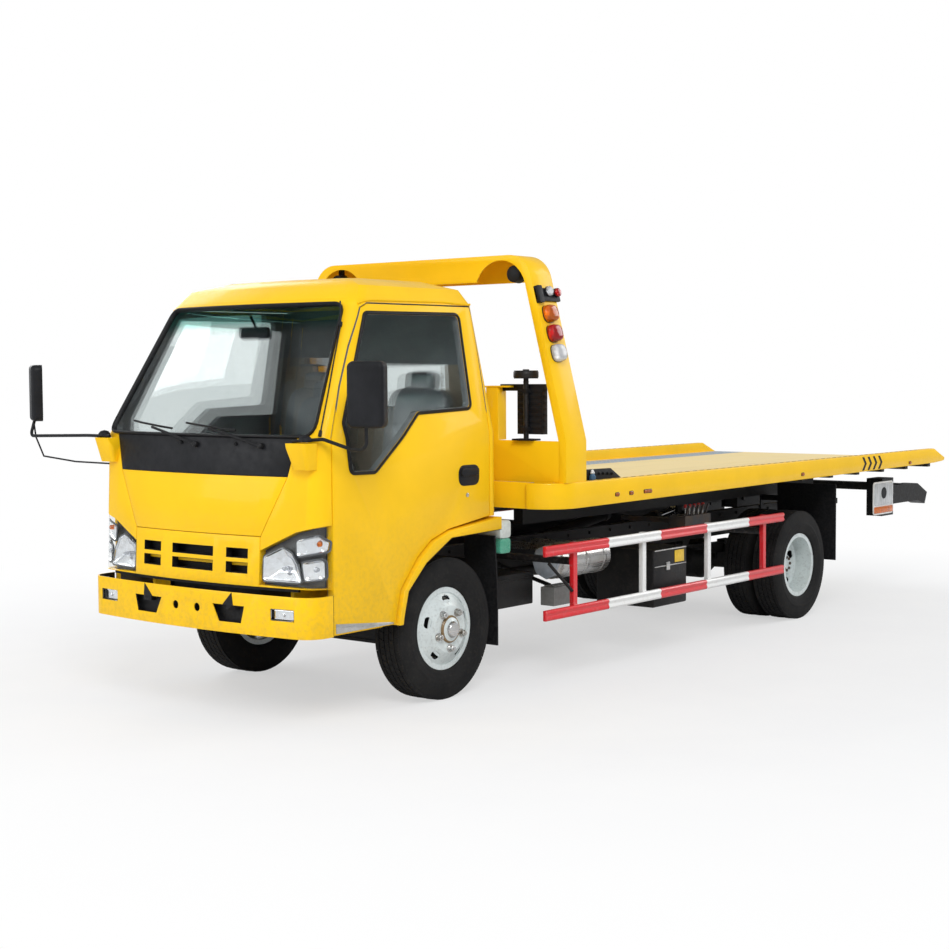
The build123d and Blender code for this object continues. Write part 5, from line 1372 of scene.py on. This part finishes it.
def make_mirrors():
    panel("mirrors", "mirror_heads_and_arms", moulded_plastic(), 0.006)
    faces = []
    for x, turn in MIRROR_HEADS:
        outline = rounded_box((-0.083, -0.148), (0.083, 0.148), 0.03)
        face = Work().prism("y", outline, 0.025, 0.0322).mesh("mirror_face")
        face.transform(
            Matrix.Translation((x, MIRROR_Y, MIRROR_Z)) @ Matrix.Rotation(math.radians(turn), 4, "Z")
        )
        faces.append(face)
    finished(joined("mirror_faces", *faces), "mirror_faces", "cab", mirror_glass(), 0.0005)
    caps = Work()
    for side in (1, -1):
        caps.turned(
            [(0, 0.033), (0.014, 0.032), (0.026, 0.022), (0.032, 0.0)], (side * 0.770, -1.040, 1.441),
            (0, 0, 1), 24,
        )
    caps.tube(
        [
            (-0.795, -0.99, 1.285), (-1.05, -1.02, 1.290), (-1.326, -1.03, 1.314), (-1.45, -0.99, 1.42),
            (-1.51, -0.96, 1.52),
        ],
        0.005, 8,
    )
    caps.piece("mirror_stay", "cab", moulded_plastic(), angle=60)


# ---------------------------------------------------------------- wheels


TYRE_SECTION = (
    (-0.076, 0.2262), (-0.084, 0.234), (-0.0905, 0.248), (-0.0905, 0.255), (-0.0955, 0.266),
    (-0.0992, 0.284), (-0.0992, 0.2865),
    (-0.1000, 0.288), (-0.1000, 0.306), (-0.0992, 0.3075), (-0.0992, 0.310), (-0.0975, 0.330),
    (-0.0930, 0.352), (-0.0880, 0.368),
    (-0.0840, 0.3765), (-0.0800, 0.3790),
)
# Each row of blocks reads (from x, to x, shift round the tyre as a share of a block).
TREAD_ROWS = (
    (-0.082, -0.056, 0.0), (-0.049, -0.020, 0.5), (-0.014, 0.014, 0.0), (0.020, 0.049, 0.5),
    (0.056, 0.082, 0.0),
)
TREAD_FOOT, TREAD_FACE = 0.376, 0.3874


def tread_lugs(half):
    """One block of each of the tread's rows, half as long as half says."""
    lugs = Work()
    for row, (x0, x1, shift) in enumerate(TREAD_ROWS):
        slant = 0.25 * half * (-1) ** row
        reach = half * 0.955
        turn = shift * 2 * half
        front, back = turn - reach, turn + reach
        outline = [(x0, front - slant), (x1, front + slant), (x1, back + slant), (x0, back - slant)]
        lugs.skin(
            [[(a, b, TREAD_FOOT) for a, b in outline], [(a * 0.99, b, TREAD_FACE) for a, b in outline]]
        )
    return lugs


def make_wheels():
    blocks = sizes().tread_blocks
    half = math.pi * 0.3835 / blocks
    section = [*TYRE_SECTION, *[(-a, r) for a, r in reversed(TYRE_SECTION)]]
    for side, word in SIDES:
        for node, body, centres in (
            ("tyre_front_" + word, "front_wheel_" + word, (FRONT_WHEEL,)),
            ("tyres_rear_" + word, "rear_wheels_" + word, (REAR_OUTER, REAR_INNER)),
        ):
            meshes = []
            for x, y in centres:
                centre = (side * x, y, AXLE_Z)
                meshes.append(Work().ring(centre, (1, 0, 0), 0.0, section, 96).mesh("tyre"))
                lugs = tread_lugs(half).mesh("lugs")
                meshes.append(
                    repeated(lugs, ring_tree(), tyre_rubber(), Count=blocks, Centre=centre, First_angle=0.0)
                )
            finished(joined("tyre", *meshes), node + "_tread", body, tyre_rubber(), instead_of=(node,))
        coat(wheel_paint("front", 0.0, *FRONT_DISC), "rim_front_" + word)
        coat(wheel_paint("rear", WHEELBASE, *REAR_DISC), "rims_rear_" + word)
        for place, body, face, y in (
            ("front", "front_wheel_" + word, FRONT_DISC[0][1], 0.0),
            ("rear", "rear_wheels_" + word, REAR_DISC[0][1], WHEELBASE),
        ):
            nut = hexagon(0.0185, 0.026, 0.024).turned(
                [(0.026, 0.009), (0.036, 0.009)], (0, 0, 0), (1, 0, 0), 10,
            )
            mesh = nut.mesh("nut")
            mesh.transform(Matrix.Translation((0, 0, STUD_RADIUS)))
            ring = repeated(
                mesh, ring_tree(), bright_steel(), Count=5, Centre=(face, y, AXLE_Z), First_angle=FIRST_STUD,
            )
            if side < 0:
                ring = turned_over(ring)
            finished(ring, place + "_wheel_nuts_" + word, body, bright_steel(), 0.001, 40)
        front = Work()
        hub = (side * 0.816, 0, AXLE_Z)
        front.ring(
            hub, (side, 0, 0), 0.0,
            [(0.0095, 0.062), (0.0095, 0.0755), (0.014, 0.0755), (0.0215, 0.0695), (0.0215, 0.062)], 48,
        )
        front.piece(
            "front_hub_ring_" + word, "front_wheel_" + word,
            plain("bronze_hub_ring", (0.24, 0.15, 0.06), 0.4, "bright_metal"), 0.001,
        )
        cap = Work().turned(
            [(0.026, 0.0455), (0.031, 0.0455), (0.0465, 0.0372), (0.0475, 0.030), (0.0475, 0.0)], hub,
            (side, 0, 0), 40,
        )
        cap.piece("front_hub_cap_" + word, "front_wheel_" + word, bright_steel(), 0.0008)
        rear_bolt = hexagon(0.011, 0.010).mesh("hub_bolt")
        rear_bolt.transform(Matrix.Translation((0, 0, 0.047)))
        ring = repeated(
            rear_bolt, ring_tree(), cast_metal(), Count=8, Centre=(0.831, WHEELBASE, AXLE_Z),
            First_angle=0.0,
        )
        finished(
            turned_over(ring) if side < 0 else ring, "rear_hub_bolts_" + word, "rear_wheels_" + word,
            cast_metal(),
        )
        valve = Work()
        valve.tube(
            [
                (side * 0.772, 0.0, AXLE_Z + 0.192), (side * 0.800, 0.0, AXLE_Z + 0.172),
                (side * 0.822, 0.0, AXLE_Z + 0.164),
            ],
            0.004, 8,
        )
        valve.piece("front_valve_" + word, "front_wheel_" + word, seal_rubber())


# ---------------------------------------------------------------- chassis


def make_chassis():
    coat(
        frame_paint(), "frame_rails", "cross_members", "propeller_shaft", "leaf_springs", "front_axle",
        "rear_axle", "tie_rod",
    )
    coat(cast_metal(), "engine", "knuckle_left", "knuckle_right", "valve_block")
    coat(seal_rubber(), "mud_flaps")
    pitch = sizes().bolt_pitch
    count = int(BOLTED_LENGTH / pitch)
    meshes = []
    for z in BOLT_ROWS:
        bolt = hexagon(0.010, 0.008, 0.014).mesh("frame_bolt")
        left = repeated(
            bolt, row_tree(), frame_paint(), Count=count, Start=(0.350, -0.62, z), Step=(0, pitch, 0),
        )
        meshes += [turned_over(left), left]
    finished(joined("frame_bolts", *meshes), "frame_bolts", "chassis", frame_paint())
    sump = Work()
    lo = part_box("engine")[0]
    sump.box((-0.16, -0.30, lo.z + 0.004), (0.16, 0.26, lo.z + 0.03))
    for y in (-0.2, -0.05, 0.10, 0.25):
        sump.box((-0.256, y - 0.012, 0.55), (0.256, y + 0.012, 0.90))
    sump.turned(
        [(0, 0.10), (0.012, 0.10), (0.012, 0.02), (0.03, 0.02)], (0, lo.y + 0.002, 0.70), (0, -1, 0), 24,
    )
    sump.piece("engine_ribs_and_pulley", "chassis", cast_metal(), 0.003)
    clamps = Work()
    for x in (0.320, -0.320):
        for y in (-0.030, 0.030, WHEELBASE - 0.06, WHEELBASE + 0.06):
            z = 0.47 if y < 1 else 0.49
            clamps.tube(
                [
                    (x - 0.036, y, z - 0.09), (x - 0.036, y, z + 0.02), (x + 0.036, y, z + 0.02),
                    (x + 0.036, y, z - 0.09),
                ],
                0.007, 8,
            )
    clamps.piece("spring_clamps", "chassis", frame_paint(), angle=60)


def make_side_equipment():
    coat(bright_steel(), "silencer")
    bands = Work()
    for y in (1.14, 1.32, 1.50):
        bands.ring(
            (SILENCER_X, y, SILENCER_Z), (0, 1, 0), 0.1052,
            [(-0.014, 0.0), (0.014, 0.0), (0.014, 0.0025), (-0.014, 0.0025)], 48,
        )
    bands.piece("silencer_bands", "chassis", bright_steel(), 0.0008)
    cap = Work().turned(
        [(0.0, 0.098), (0.006, 0.103), (0.012, 0.095), (0.016, 0.050), (0.017, 0.0)],
        (SILENCER_X, 1.034, SILENCER_Z), (0, -1, 0), 8,
    )
    cap.piece(
        "silencer_front_end", "chassis", plain("zinc_grey", (0.42, 0.47, 0.52), 0.4, "cast_grey"), 0.002,
    )
    low = Work().box((0.70, 1.00, 0.395), (0.80, 1.21, 0.505)).box((0.71, 1.02, 0.505), (0.79, 1.19, 0.512))
    low.piece("frame_side_block", "chassis", plain("dull_grey", (0.20, 0.20, 0.19), 0.6, "cast_grey"), 0.008)
    box = Work().box((0.358, 0.56, 0.405), (0.66, 0.98, 0.598)).box(
        (0.355, 0.555, 0.560), (0.665, 0.985, 0.575),
    )
    box.piece("battery_box", "chassis", frame_paint(), 0.006)
    stay = Work().tube([(0.36, 1.07, 0.60), (0.72, 1.07, 0.508)], 0.012, 8).tube(
        [(0.98, 0.70, 0.69), (1.03, 0.86, 0.52)], 0.010, 8,
    )
    stay.piece("block_and_guard_stays", "chassis", frame_paint(), angle=60)
    panel("tool_box", "tool_box_shell", frame_paint(), 0.008)
    trim = Work().box((0.990, 1.80, 0.560), (0.9935, 2.17, 0.566)).box(
        (0.990, 1.93, 0.535), (0.998, 1.97, 0.585),
    )
    trim.box((0.990, 1.80, 0.66), (0.994, 2.17, 0.668))
    trim.piece("tool_box_lid_line_and_catch", "chassis", bright_steel(), 0.001)
    Work().box((0.990, 2.035, 0.575), (0.992, 2.145, 0.650)).piece(
        "blank_yellow_plate", "chassis", plain("plate_yellow", (0.85, 0.55, 0.02), 0.4, "body_yellow"),
        0.0005,
    )
    panel("fuel_tank", "fuel_tank_shell", frame_paint(), 0.012)
    lo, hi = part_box("fuel_tank")
    strap = [
        (lo.x - 0.003, lo.z + 0.03), (lo.x + 0.03, lo.z - 0.003), (-0.50, lo.z - 0.003),
        (-0.50, lo.z + 0.002), (lo.x + 0.033, lo.z + 0.002), (lo.x + 0.002, lo.z + 0.033),
        (lo.x + 0.002, hi.z - 0.03), (lo.x + 0.03, hi.z - 0.002), (-0.50, hi.z - 0.002),
        (-0.50, hi.z + 0.003), (lo.x + 0.027, hi.z + 0.003), (lo.x - 0.003, hi.z - 0.027),
    ]
    straps = Work()
    for y in (lo.y + 0.18, hi.y - 0.18):
        straps.prism("y", strap, y - 0.02, y + 0.02)
    straps.turned(
        [(0.0, 0.040), (0.030, 0.040), (0.036, 0.034)], (lo.x + 0.05, lo.y + 0.40, hi.z - 0.03),
        (-0.9, 0, 0.6), 24,
    )
    straps.piece("tank_straps_and_cap", "chassis", bright_steel(), 0.0015)
    lo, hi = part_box("valve_block")
    levers, knobs = Work(), Work()
    for i in range(LEVERS):
        y = lo.y + 0.05 + i * (hi.y - lo.y - 0.10) / (LEVERS - 1)
        x = hi.x - 0.045
        levers.tube([(x, y, hi.z - 0.09), (x + 0.004, y, hi.z - 0.012)], 0.0045, 8)
        knobs.turned(
            [(0, 0.006), (0.004, 0.010), (0.018, 0.011), (0.024, 0.007)], (x + 0.004, y, hi.z - 0.020),
            (0.04, 0, 1), 14,
        )
    levers.piece("valve_levers", "chassis", bright_steel())
    knobs.piece("lever_knobs", "chassis", plain("red_knobs", (0.55, 0.02, 0.02), 0.35, "guard_red_white"))
    bottle = Work().prism("x", rounded_box((0.480, 0.838), (0.580, 0.940), 0.025), 0.640, 0.805)
    bottle.piece(
        "washer_bottle", "chassis", plain("milky_plastic", (0.72, 0.78, 0.74), 0.35, "lamp_clear"), 0.008,
    )
    lower = Work().prism("x", rounded_box((0.482, 0.752), (0.578, 0.837), 0.02), 0.642, 0.803)
    lower.piece(
        "washer_bottle_liquid", "chassis", plain("green_liquid", (0.10, 0.42, 0.28), 0.3, "lamp_clear"),
        0.006,
    )


def make_side_guards():
    panel("side_guards", "side_guard_rails", guard_paint(), 0.004)


# ---------------------------------------------------------------- bed and arch


def make_bed():
    panel("bed_rails", "bed_side_rails", body_paint(), 0.007)
    coat(deck_paint(), "bed_deck")
    front = Work().box(
        (-(RAIL_X - BED_CORNER), BED_FRONT + 0.0235, RAIL_BOTTOM),
        (RAIL_X - BED_CORNER, BED_FRONT + 0.055, RAIL_TOP + 0.0015),
    )
    front.piece("bed_front_face", "bed", body_paint(), 0.002)
    # Painted shade: thin black marks on the rail tops stand for the shade inside the tie-down slots.
    slot = Work().box((-0.004, -0.022, 0), (0.004, 0.022, 0.0012)).mesh("slot")
    left = repeated(
        slot, row_tree(), seal_rubber(), Count=52, Start=(1.070, 1.00, RAIL_TOP - 0.0002),
        Step=(0, 0.088, 0),
    )
    finished(joined("rail_slots", turned_over(left), left), "rail_top_slots", "bed", seal_rubber())
    chevrons = Work()
    for i in range(4):
        arrow = [(CHEVRON_FIRST + i * CHEVRON_STEP + y, z) for y, z in CHEVRON]
        chevrons.prism("x", arrow, RAIL_X - 0.0002, RAIL_X + 0.0006)
    chevrons.mirror().piece("rail_chevrons", "bed", seal_rubber())
    body, lens = Work(), Work()
    for y, half in SIDE_MARKERS:
        body.prism("x", rounded_box((y - half, 1.046), (y + half, 1.070), 0.008), 1.0995, 1.102)
        half -= 0.003
        lens.prism("x", rounded_box((y - half, 1.049), (y + half, 1.067), 0.007), 1.1015, 1.107)
    body.mirror().piece("side_marker_bodies", "bed", moulded_plastic(), 0.001)
    lens.mirror().piece("side_marker_lenses", "bed", lamp_glass("orange", AMBER), 0.003)
    tread = Work().box((-0.0028, -0.016, 0), (0.0028, 0.016, 0.0014)).mesh("grip")
    grips = []
    for x in GRIP_ROWS:
        grips.append(
            repeated(
                tread.copy(), row_tree(), deck_paint(), Count=86, Start=(x, 1.30, DECK_Z),
                Step=(0, 0.054, 0),
            )
        )
    grips += [turned_over(g) for g in grips]
    finished(joined("deck_grips", *grips), "deck_grip_bars", "bed", deck_paint())
    seams = Work()
    for y in (2.0, 3.2, 4.4, 5.4):
        seams.box((-0.695, y - 0.002, DECK_Z), (0.695, y + 0.002, DECK_Z + 0.0006))
    for x in (-0.70, 0.70):
        seams.box((x - 0.003, 1.25, DECK_Z), (x + 0.003, 5.94, DECK_Z + 0.0016))
    seams.piece("deck_welds", "bed", deck_paint())


def on_leg(y, z):
    """Places (along, up, out) points on the outer face of the arch's left leg."""
    lean = (ARCH_FOOT_X - ARCH_TOP_X) / (ARCH_TOP - BOARD_TOP)
    out = Vector((1, 0, lean)).normalized()
    up = Vector((-lean, 0, 1)).normalized()
    base = Vector((ARCH_FOOT_X - lean * (z - BOARD_TOP), y, z))
    return lambda a, b, c: base + Vector((0, a, 0)) + up * b + out * c


def stacked(work, place, layers, corner, middle=(0, 0)):
    """Rounded squares of (out, half width) one over the other, a little less high than wide."""
    rings = []
    for out, half in layers:
        low = half * 0.945
        square = [(-half, -low), (half, -low), (half, low), (-half, low)]
        rings.append(
            [
                place(a + middle[0], b + middle[1], out)
                for a, b in rounded_outline(square, min(corner, half * 0.9), 4)
            ]
        )
    return work.skin(rings)


def make_arch():
    panel("arch", "arch_panel", body_paint(), 0.0035)
    panel("headboard", "headboard_panel", body_paint(), 0.003)
    body, reflectors = Work(), Work()
    lens = {tone: Work() for tone in ARCH_TONES}
    for tone, z in zip(("orange", "red", "clear"), LAMP_HEIGHTS):
        place = on_leg(LAMP_Y, z)
        stacked(body, place, ((-0.002, 0.0545), (0.005, 0.0545), (0.006, 0.0535)), 0.042)
        stacked(
            lens[tone], place,
            ((0.006, 0.0535), (0.030, 0.0515), (0.043, 0.046), (0.048, 0.036), (0.050, 0.014)), 0.041,
        )
    place = on_leg(0.829, 2.217)
    for half, low, high, near, far in (
        (0.111, -0.038, 0.038, -0.002, 0.012), (0.024, -0.050, 0.050, -0.002, 0.026),
    ):
        shift = 0.0 if half > 0.1 else -0.087
        plate = [(shift - half, low), (shift + half, low), (shift + half, high), (shift - half, high)]
        body.skin(
            [[place(a, b, c) for a, b in rounded_outline(plate, 0.008, 3)] for c in (near, far - 0.002, far)]
        )
    way = place(0, 0, 1) - place(0, 0, 0)
    for tone, y, z, radius in (("white", 0.834, 2.235, 0.028), ("red", 0.910, 2.229, 0.025)):
        seat = on_leg(y, z)(0, 0, 0.012)
        body.turned([(0.0, radius + 0.002), (0.008, radius + 0.002)], seat, way, 24)
        lens[tone].turned(
            [(0.008, radius), (0.020, radius), (0.026, radius * 0.7), (0.027, 0.0)], seat, way, 24,
        )
    lamp = Vector((WORK_LAMP[0], 0.750, WORK_LAMP[1]))
    body.turned(
        [(0, 0.040), (0.004, 0.048), (0.060, 0.053), (0.060, 0.0495), (0.050, 0.048), (0.014, 0.017)], lamp,
        (0, 1, 0), 36,
    )
    body.box((lamp.x - 0.015, 0.783, lamp.z + 0.04), (lamp.x + 0.015, 0.807, ARCH_TOP - 0.012))
    reflectors.turned(
        [(0.016, 0.0), (0.016, 0.012), (0.049, 0.0465), (0.050, 0.0465), (0.018, 0.013), (0.018, 0.0)], lamp,
        (0, 1, 0), 32,
    )
    lens["clear"].turned(
        [(0.050, 0.0475), (0.053, 0.0475), (0.056, 0.030), (0.057, 0.0)], lamp, (0, 1, 0), 32,
    )
    body.mirror().piece("arch_lamp_bodies", "bed", moulded_plastic(), 0.0015, instead_of=("arch_lamps",))
    reflectors.mirror().piece("work_lamp_reflectors", "bed", chrome(), angle=60)
    foot = Work().prism(
        "x", [(0.950, 1.071), (0.950, 1.208), (1.340, 1.203), (1.462, 1.135), (1.462, 1.071)], 0.962, 0.974,
    )
    bolt = hexagon(0.008, 0.007, 0.011).mesh("plate_bolt")
    bolts = repeated(
        bolt, row_tree(), moulded_plastic(), Count=4, Start=(0.974, 1.215, 1.178), Step=(0, 0.045, -0.002),
    )
    cone = Work().turned(
        [(0, 0.020), (0.018, 0.020), (0.020, 0.014), (0.030, 0.012)], (0.986, 1.130, 1.150), (0, 0, 1), 20,
    )
    tip = Work().turned(
        [(0.030, 0.011), (0.034, 0.014), (0.052, 0.007), (0.056, 0.0)], (0.986, 1.130, 1.150), (0, 0, 1), 20,
    )
    cone.box((0.972, 1.115, 1.140), (1.000, 1.145, 1.152))
    mesh = joined("foot_plates", foot.mesh("plate"), bolts)
    finished(
        joined("foot_plates", turned_over(mesh), mesh), "arch_foot_plates", "bed", moulded_plastic(), 0.0015,
    )
    cone.mirror().piece(
        "foot_plate_couplings", "bed", plain("blue_coupling", (0.06, 0.16, 0.30), 0.4, "frame_black"),
    )
    tip.mirror().piece("coupling_caps", "bed", plain("white_cap", (0.75, 0.77, 0.78), 0.4, "lamp_clear"))
    for tone, colour in ARCH_TONES.items():
        lens[tone].mirror().piece("arch_lamps_" + tone, "bed", lamp_glass(tone + "_arch", colour), 0.001)


def make_headboard_gear():
    plate = Work().box((0.512, 0.712, 1.690), (0.690, 0.798, 1.700))
    plate.piece("post_top_plate", "bed", body_paint(), 0.003)
    panel("hand_screw", "hand_screw_and_block", moulded_plastic(), 0.004)
    gear = Work().box((0.600, 0.748, 1.6995), (0.905, 0.796, 1.709))
    for z in BLOCK_RIBS:
        gear.box((0.731, 0.744, z), (0.897, 0.751, z + 0.016))
        gear.box((0.9045, 0.757, z), (0.910, 0.788, z + 0.016))
    gear.piece("block_ribs_and_arm", "bed", moulded_plastic(), 0.002)
    thread = []
    for i in range(SCREW_TURNS):
        z = 0.0135 * i
        thread += [(z, 0.0152), (z + 0.005, 0.0172), (z + 0.009, 0.0152)]
    work = Work().turned(thread, (*HAND_SCREW, 1.420), (0, 0, 1), 20)
    work.ring(
        (*HAND_SCREW, 1.764), (0, 0, 1), 0.0,
        [(-0.018, 0.069), (-0.014, 0.0725), (0.014, 0.0725), (0.018, 0.069)], 32,
    )
    work.turned([(0, 0.020), (0.008, 0.018)], (*HAND_SCREW, 1.786), (0, 0, 1), 16)
    work.piece("hand_screw_thread", "bed", frame_paint(), angle=50)
    coat(frame_paint(), "winch_frame")
    coat(cast_metal(), "winch_drum")
    profile = [(-0.150, 0.040)]
    for i in range(ROPE_WRAPS):
        x = -0.148 + 0.296 * i / ROPE_WRAPS
        profile += [(x + 0.001, 0.0632), (x + 0.0057, 0.0668), (x + 0.0104, 0.0632)]
    profile.append((0.150, 0.040))
    Work().turned(profile, WINCH_CENTRE, (1, 0, 0), 40).piece("rope_on_drum", "winch", wire_rope(), angle=60)


def make_tilt_gear():
    coat(frame_paint(), "tilt_frame", "tilt_barrels", "underlift_tube", "underlift_slide")
    coat(chrome(), "tilt_rods")
    rings = Work()
    foot, head = Vector((0.215, 2.230, 0.640)), Vector((0.215, 3.300, 0.790))
    way = (head - foot).normalized()
    for at, out in ((0.79, 0.048), (0.815, 0.045), (0.10, 0.046)):
        rings.ring(
            foot + way * at, way, 0.0421,
            [(-0.010, 0.0), (0.010, 0.0), (0.010, out - 0.0421), (-0.010, out - 0.0421)], 32,
        )
    rings.mirror().piece("barrel_glands", "cylinder_barrels", cast_metal(), 0.0015)


def make_underlift():
    coat(frame_paint(), "underlift_crossbar")
    frame_ring, glass, amber, dark = Work(), Work(), Work(), Work()
    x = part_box("underlift_crossbar")[1].x
    (y0, z0), (y1, z1) = REAR_LAMP
    outline = rounded_box((y0, z0), (y1, z1), 0.03)
    frame_ring.prism("x", outline, x - 0.004, x + 0.004)
    glass.prism(
        "x", rounded_box((y0 + 0.012, z0 + 0.07), (y1 - 0.012, z1 - 0.012), 0.02), x + 0.0035, x + 0.0075,
    )
    amber.prism(
        "x", rounded_box((y0 + 0.012, z0 + 0.012), (y1 - 0.012, z0 + 0.062), 0.012), x + 0.0035, x + 0.0075,
    )
    dark.turned([(0.0, 0.045), (0.003, 0.043)], (x + 0.0074, (y0 + y1) / 2, z0 + 0.165), (1, 0, 0), 28)
    frame_ring.mirror().piece("rear_lamp_frames", "lift_crossbar", white_paint(), 0.0015)
    glass.mirror().piece("rear_lamp_glass", "lift_crossbar", lamp_glass("pale", (0.80, 0.82, 0.84)), 0.001)
    amber.mirror().piece("rear_lamp_amber", "lift_crossbar", lamp_glass("orange", AMBER), 0.001)
    dark.mirror().piece("rear_lamp_centres", "lift_crossbar", moulded_plastic())


# ---------------------------------------------------------------- operators, panel and registration


def operator(name, label, words, *makers):
    """An operator class for one piece or group of like pieces."""

    def execute(self, context):
        for make in makers:
            make()
        return {"FINISHED"}

    return type("TRUCK_OT_" + name, (bpy.types.Operator,), {
        "__doc__": words, "bl_idname": "truck." + name, "bl_label": label, "execute": execute,
    })


OPERATORS = (
    operator("stage", "Stage", "Floor, light and camera", make_stage),
    operator(
        "cab_shell", "Cab shell", "Painted panels, doors and roof with their linings", make_cab_shell,
        make_linings,
    ),
    operator("glass", "Glass and seals", "Windows with the rubber round them", make_glass),
    operator("wipers", "Wipers and aerial", "Wipers, washer nozzles and the aerial", make_wipers),
    operator("headlamps", "Headlamps", "Lamp units and what lies behind the grille", make_headlamps),
    operator("bumper", "Bumper", "Bumper and fog lamps", make_bumper),
    operator("door_furniture", "Door furniture", "Handles, locks, gutters and pulls", make_door_furniture),
    operator("interior", "Interior", "Seats, dashboard and steering wheel", make_interior),
    operator("mirrors", "Mirrors", "Mirror heads, arms and faces", make_mirrors),
    operator("wheels", "Wheels", "Tyres with tread, rims, nuts and hubs", make_wheels),
    operator("chassis", "Chassis", "Rails, bolts, axles, springs and engine", make_chassis),
    operator(
        "side_equipment", "Side equipment", "Silencer, boxes, tank and valve levers", make_side_equipment,
    ),
    operator("side_guards", "Side guards", "Striped guard rails", make_side_guards),
    operator("bed", "Bed", "Rails, deck, markings and marker lamps", make_bed),
    operator("arch", "Arch", "Arch and headboard with their lamps", make_arch),
    operator(
        "headboard_gear", "Headboard gear", "Winch, rope and the gear at the headboard", make_headboard_gear,
    ),
    operator("tilt_gear", "Tilt gear", "Tilt frame and cylinders", make_tilt_gear),
    operator("underlift", "Under-lift", "Crossbar and its lamps", make_underlift),
)


class TRUCK_PT_panel(bpy.types.Panel):
    """Colours, sizes and pieces of the tow truck"""

    bl_idname = "TRUCK_PT_panel"
    bl_label = "Tow truck"
    bl_space_type = "VIEW_3D"
    bl_region_type = "UI"
    bl_category = "Tow truck"

    def draw(self, context):
        for group in (context.scene.truck_colours, context.scene.truck_sizes):
            for key in group.__annotations__:
                self.layout.prop(group, key)
        for cls in OPERATORS:
            self.layout.operator(cls.bl_idname)


CLASSES = (TruckColours, TruckSizes, *OPERATORS, TRUCK_PT_panel)


def register():
    for cls in CLASSES:
        bpy.utils.register_class(cls)
    bpy.types.Scene.truck_colours = PointerProperty(type=TruckColours)
    bpy.types.Scene.truck_sizes = PointerProperty(type=TruckSizes)


def unregister():
    del bpy.types.Scene.truck_sizes
    del bpy.types.Scene.truck_colours
    for cls in reversed(CLASSES):
        bpy.utils.unregister_class(cls)


def main():
    register()
    for cls in OPERATORS:
        getattr(bpy.ops.truck, cls.bl_idname.split(".")[1])()


if __name__ == "__main__":
    main()
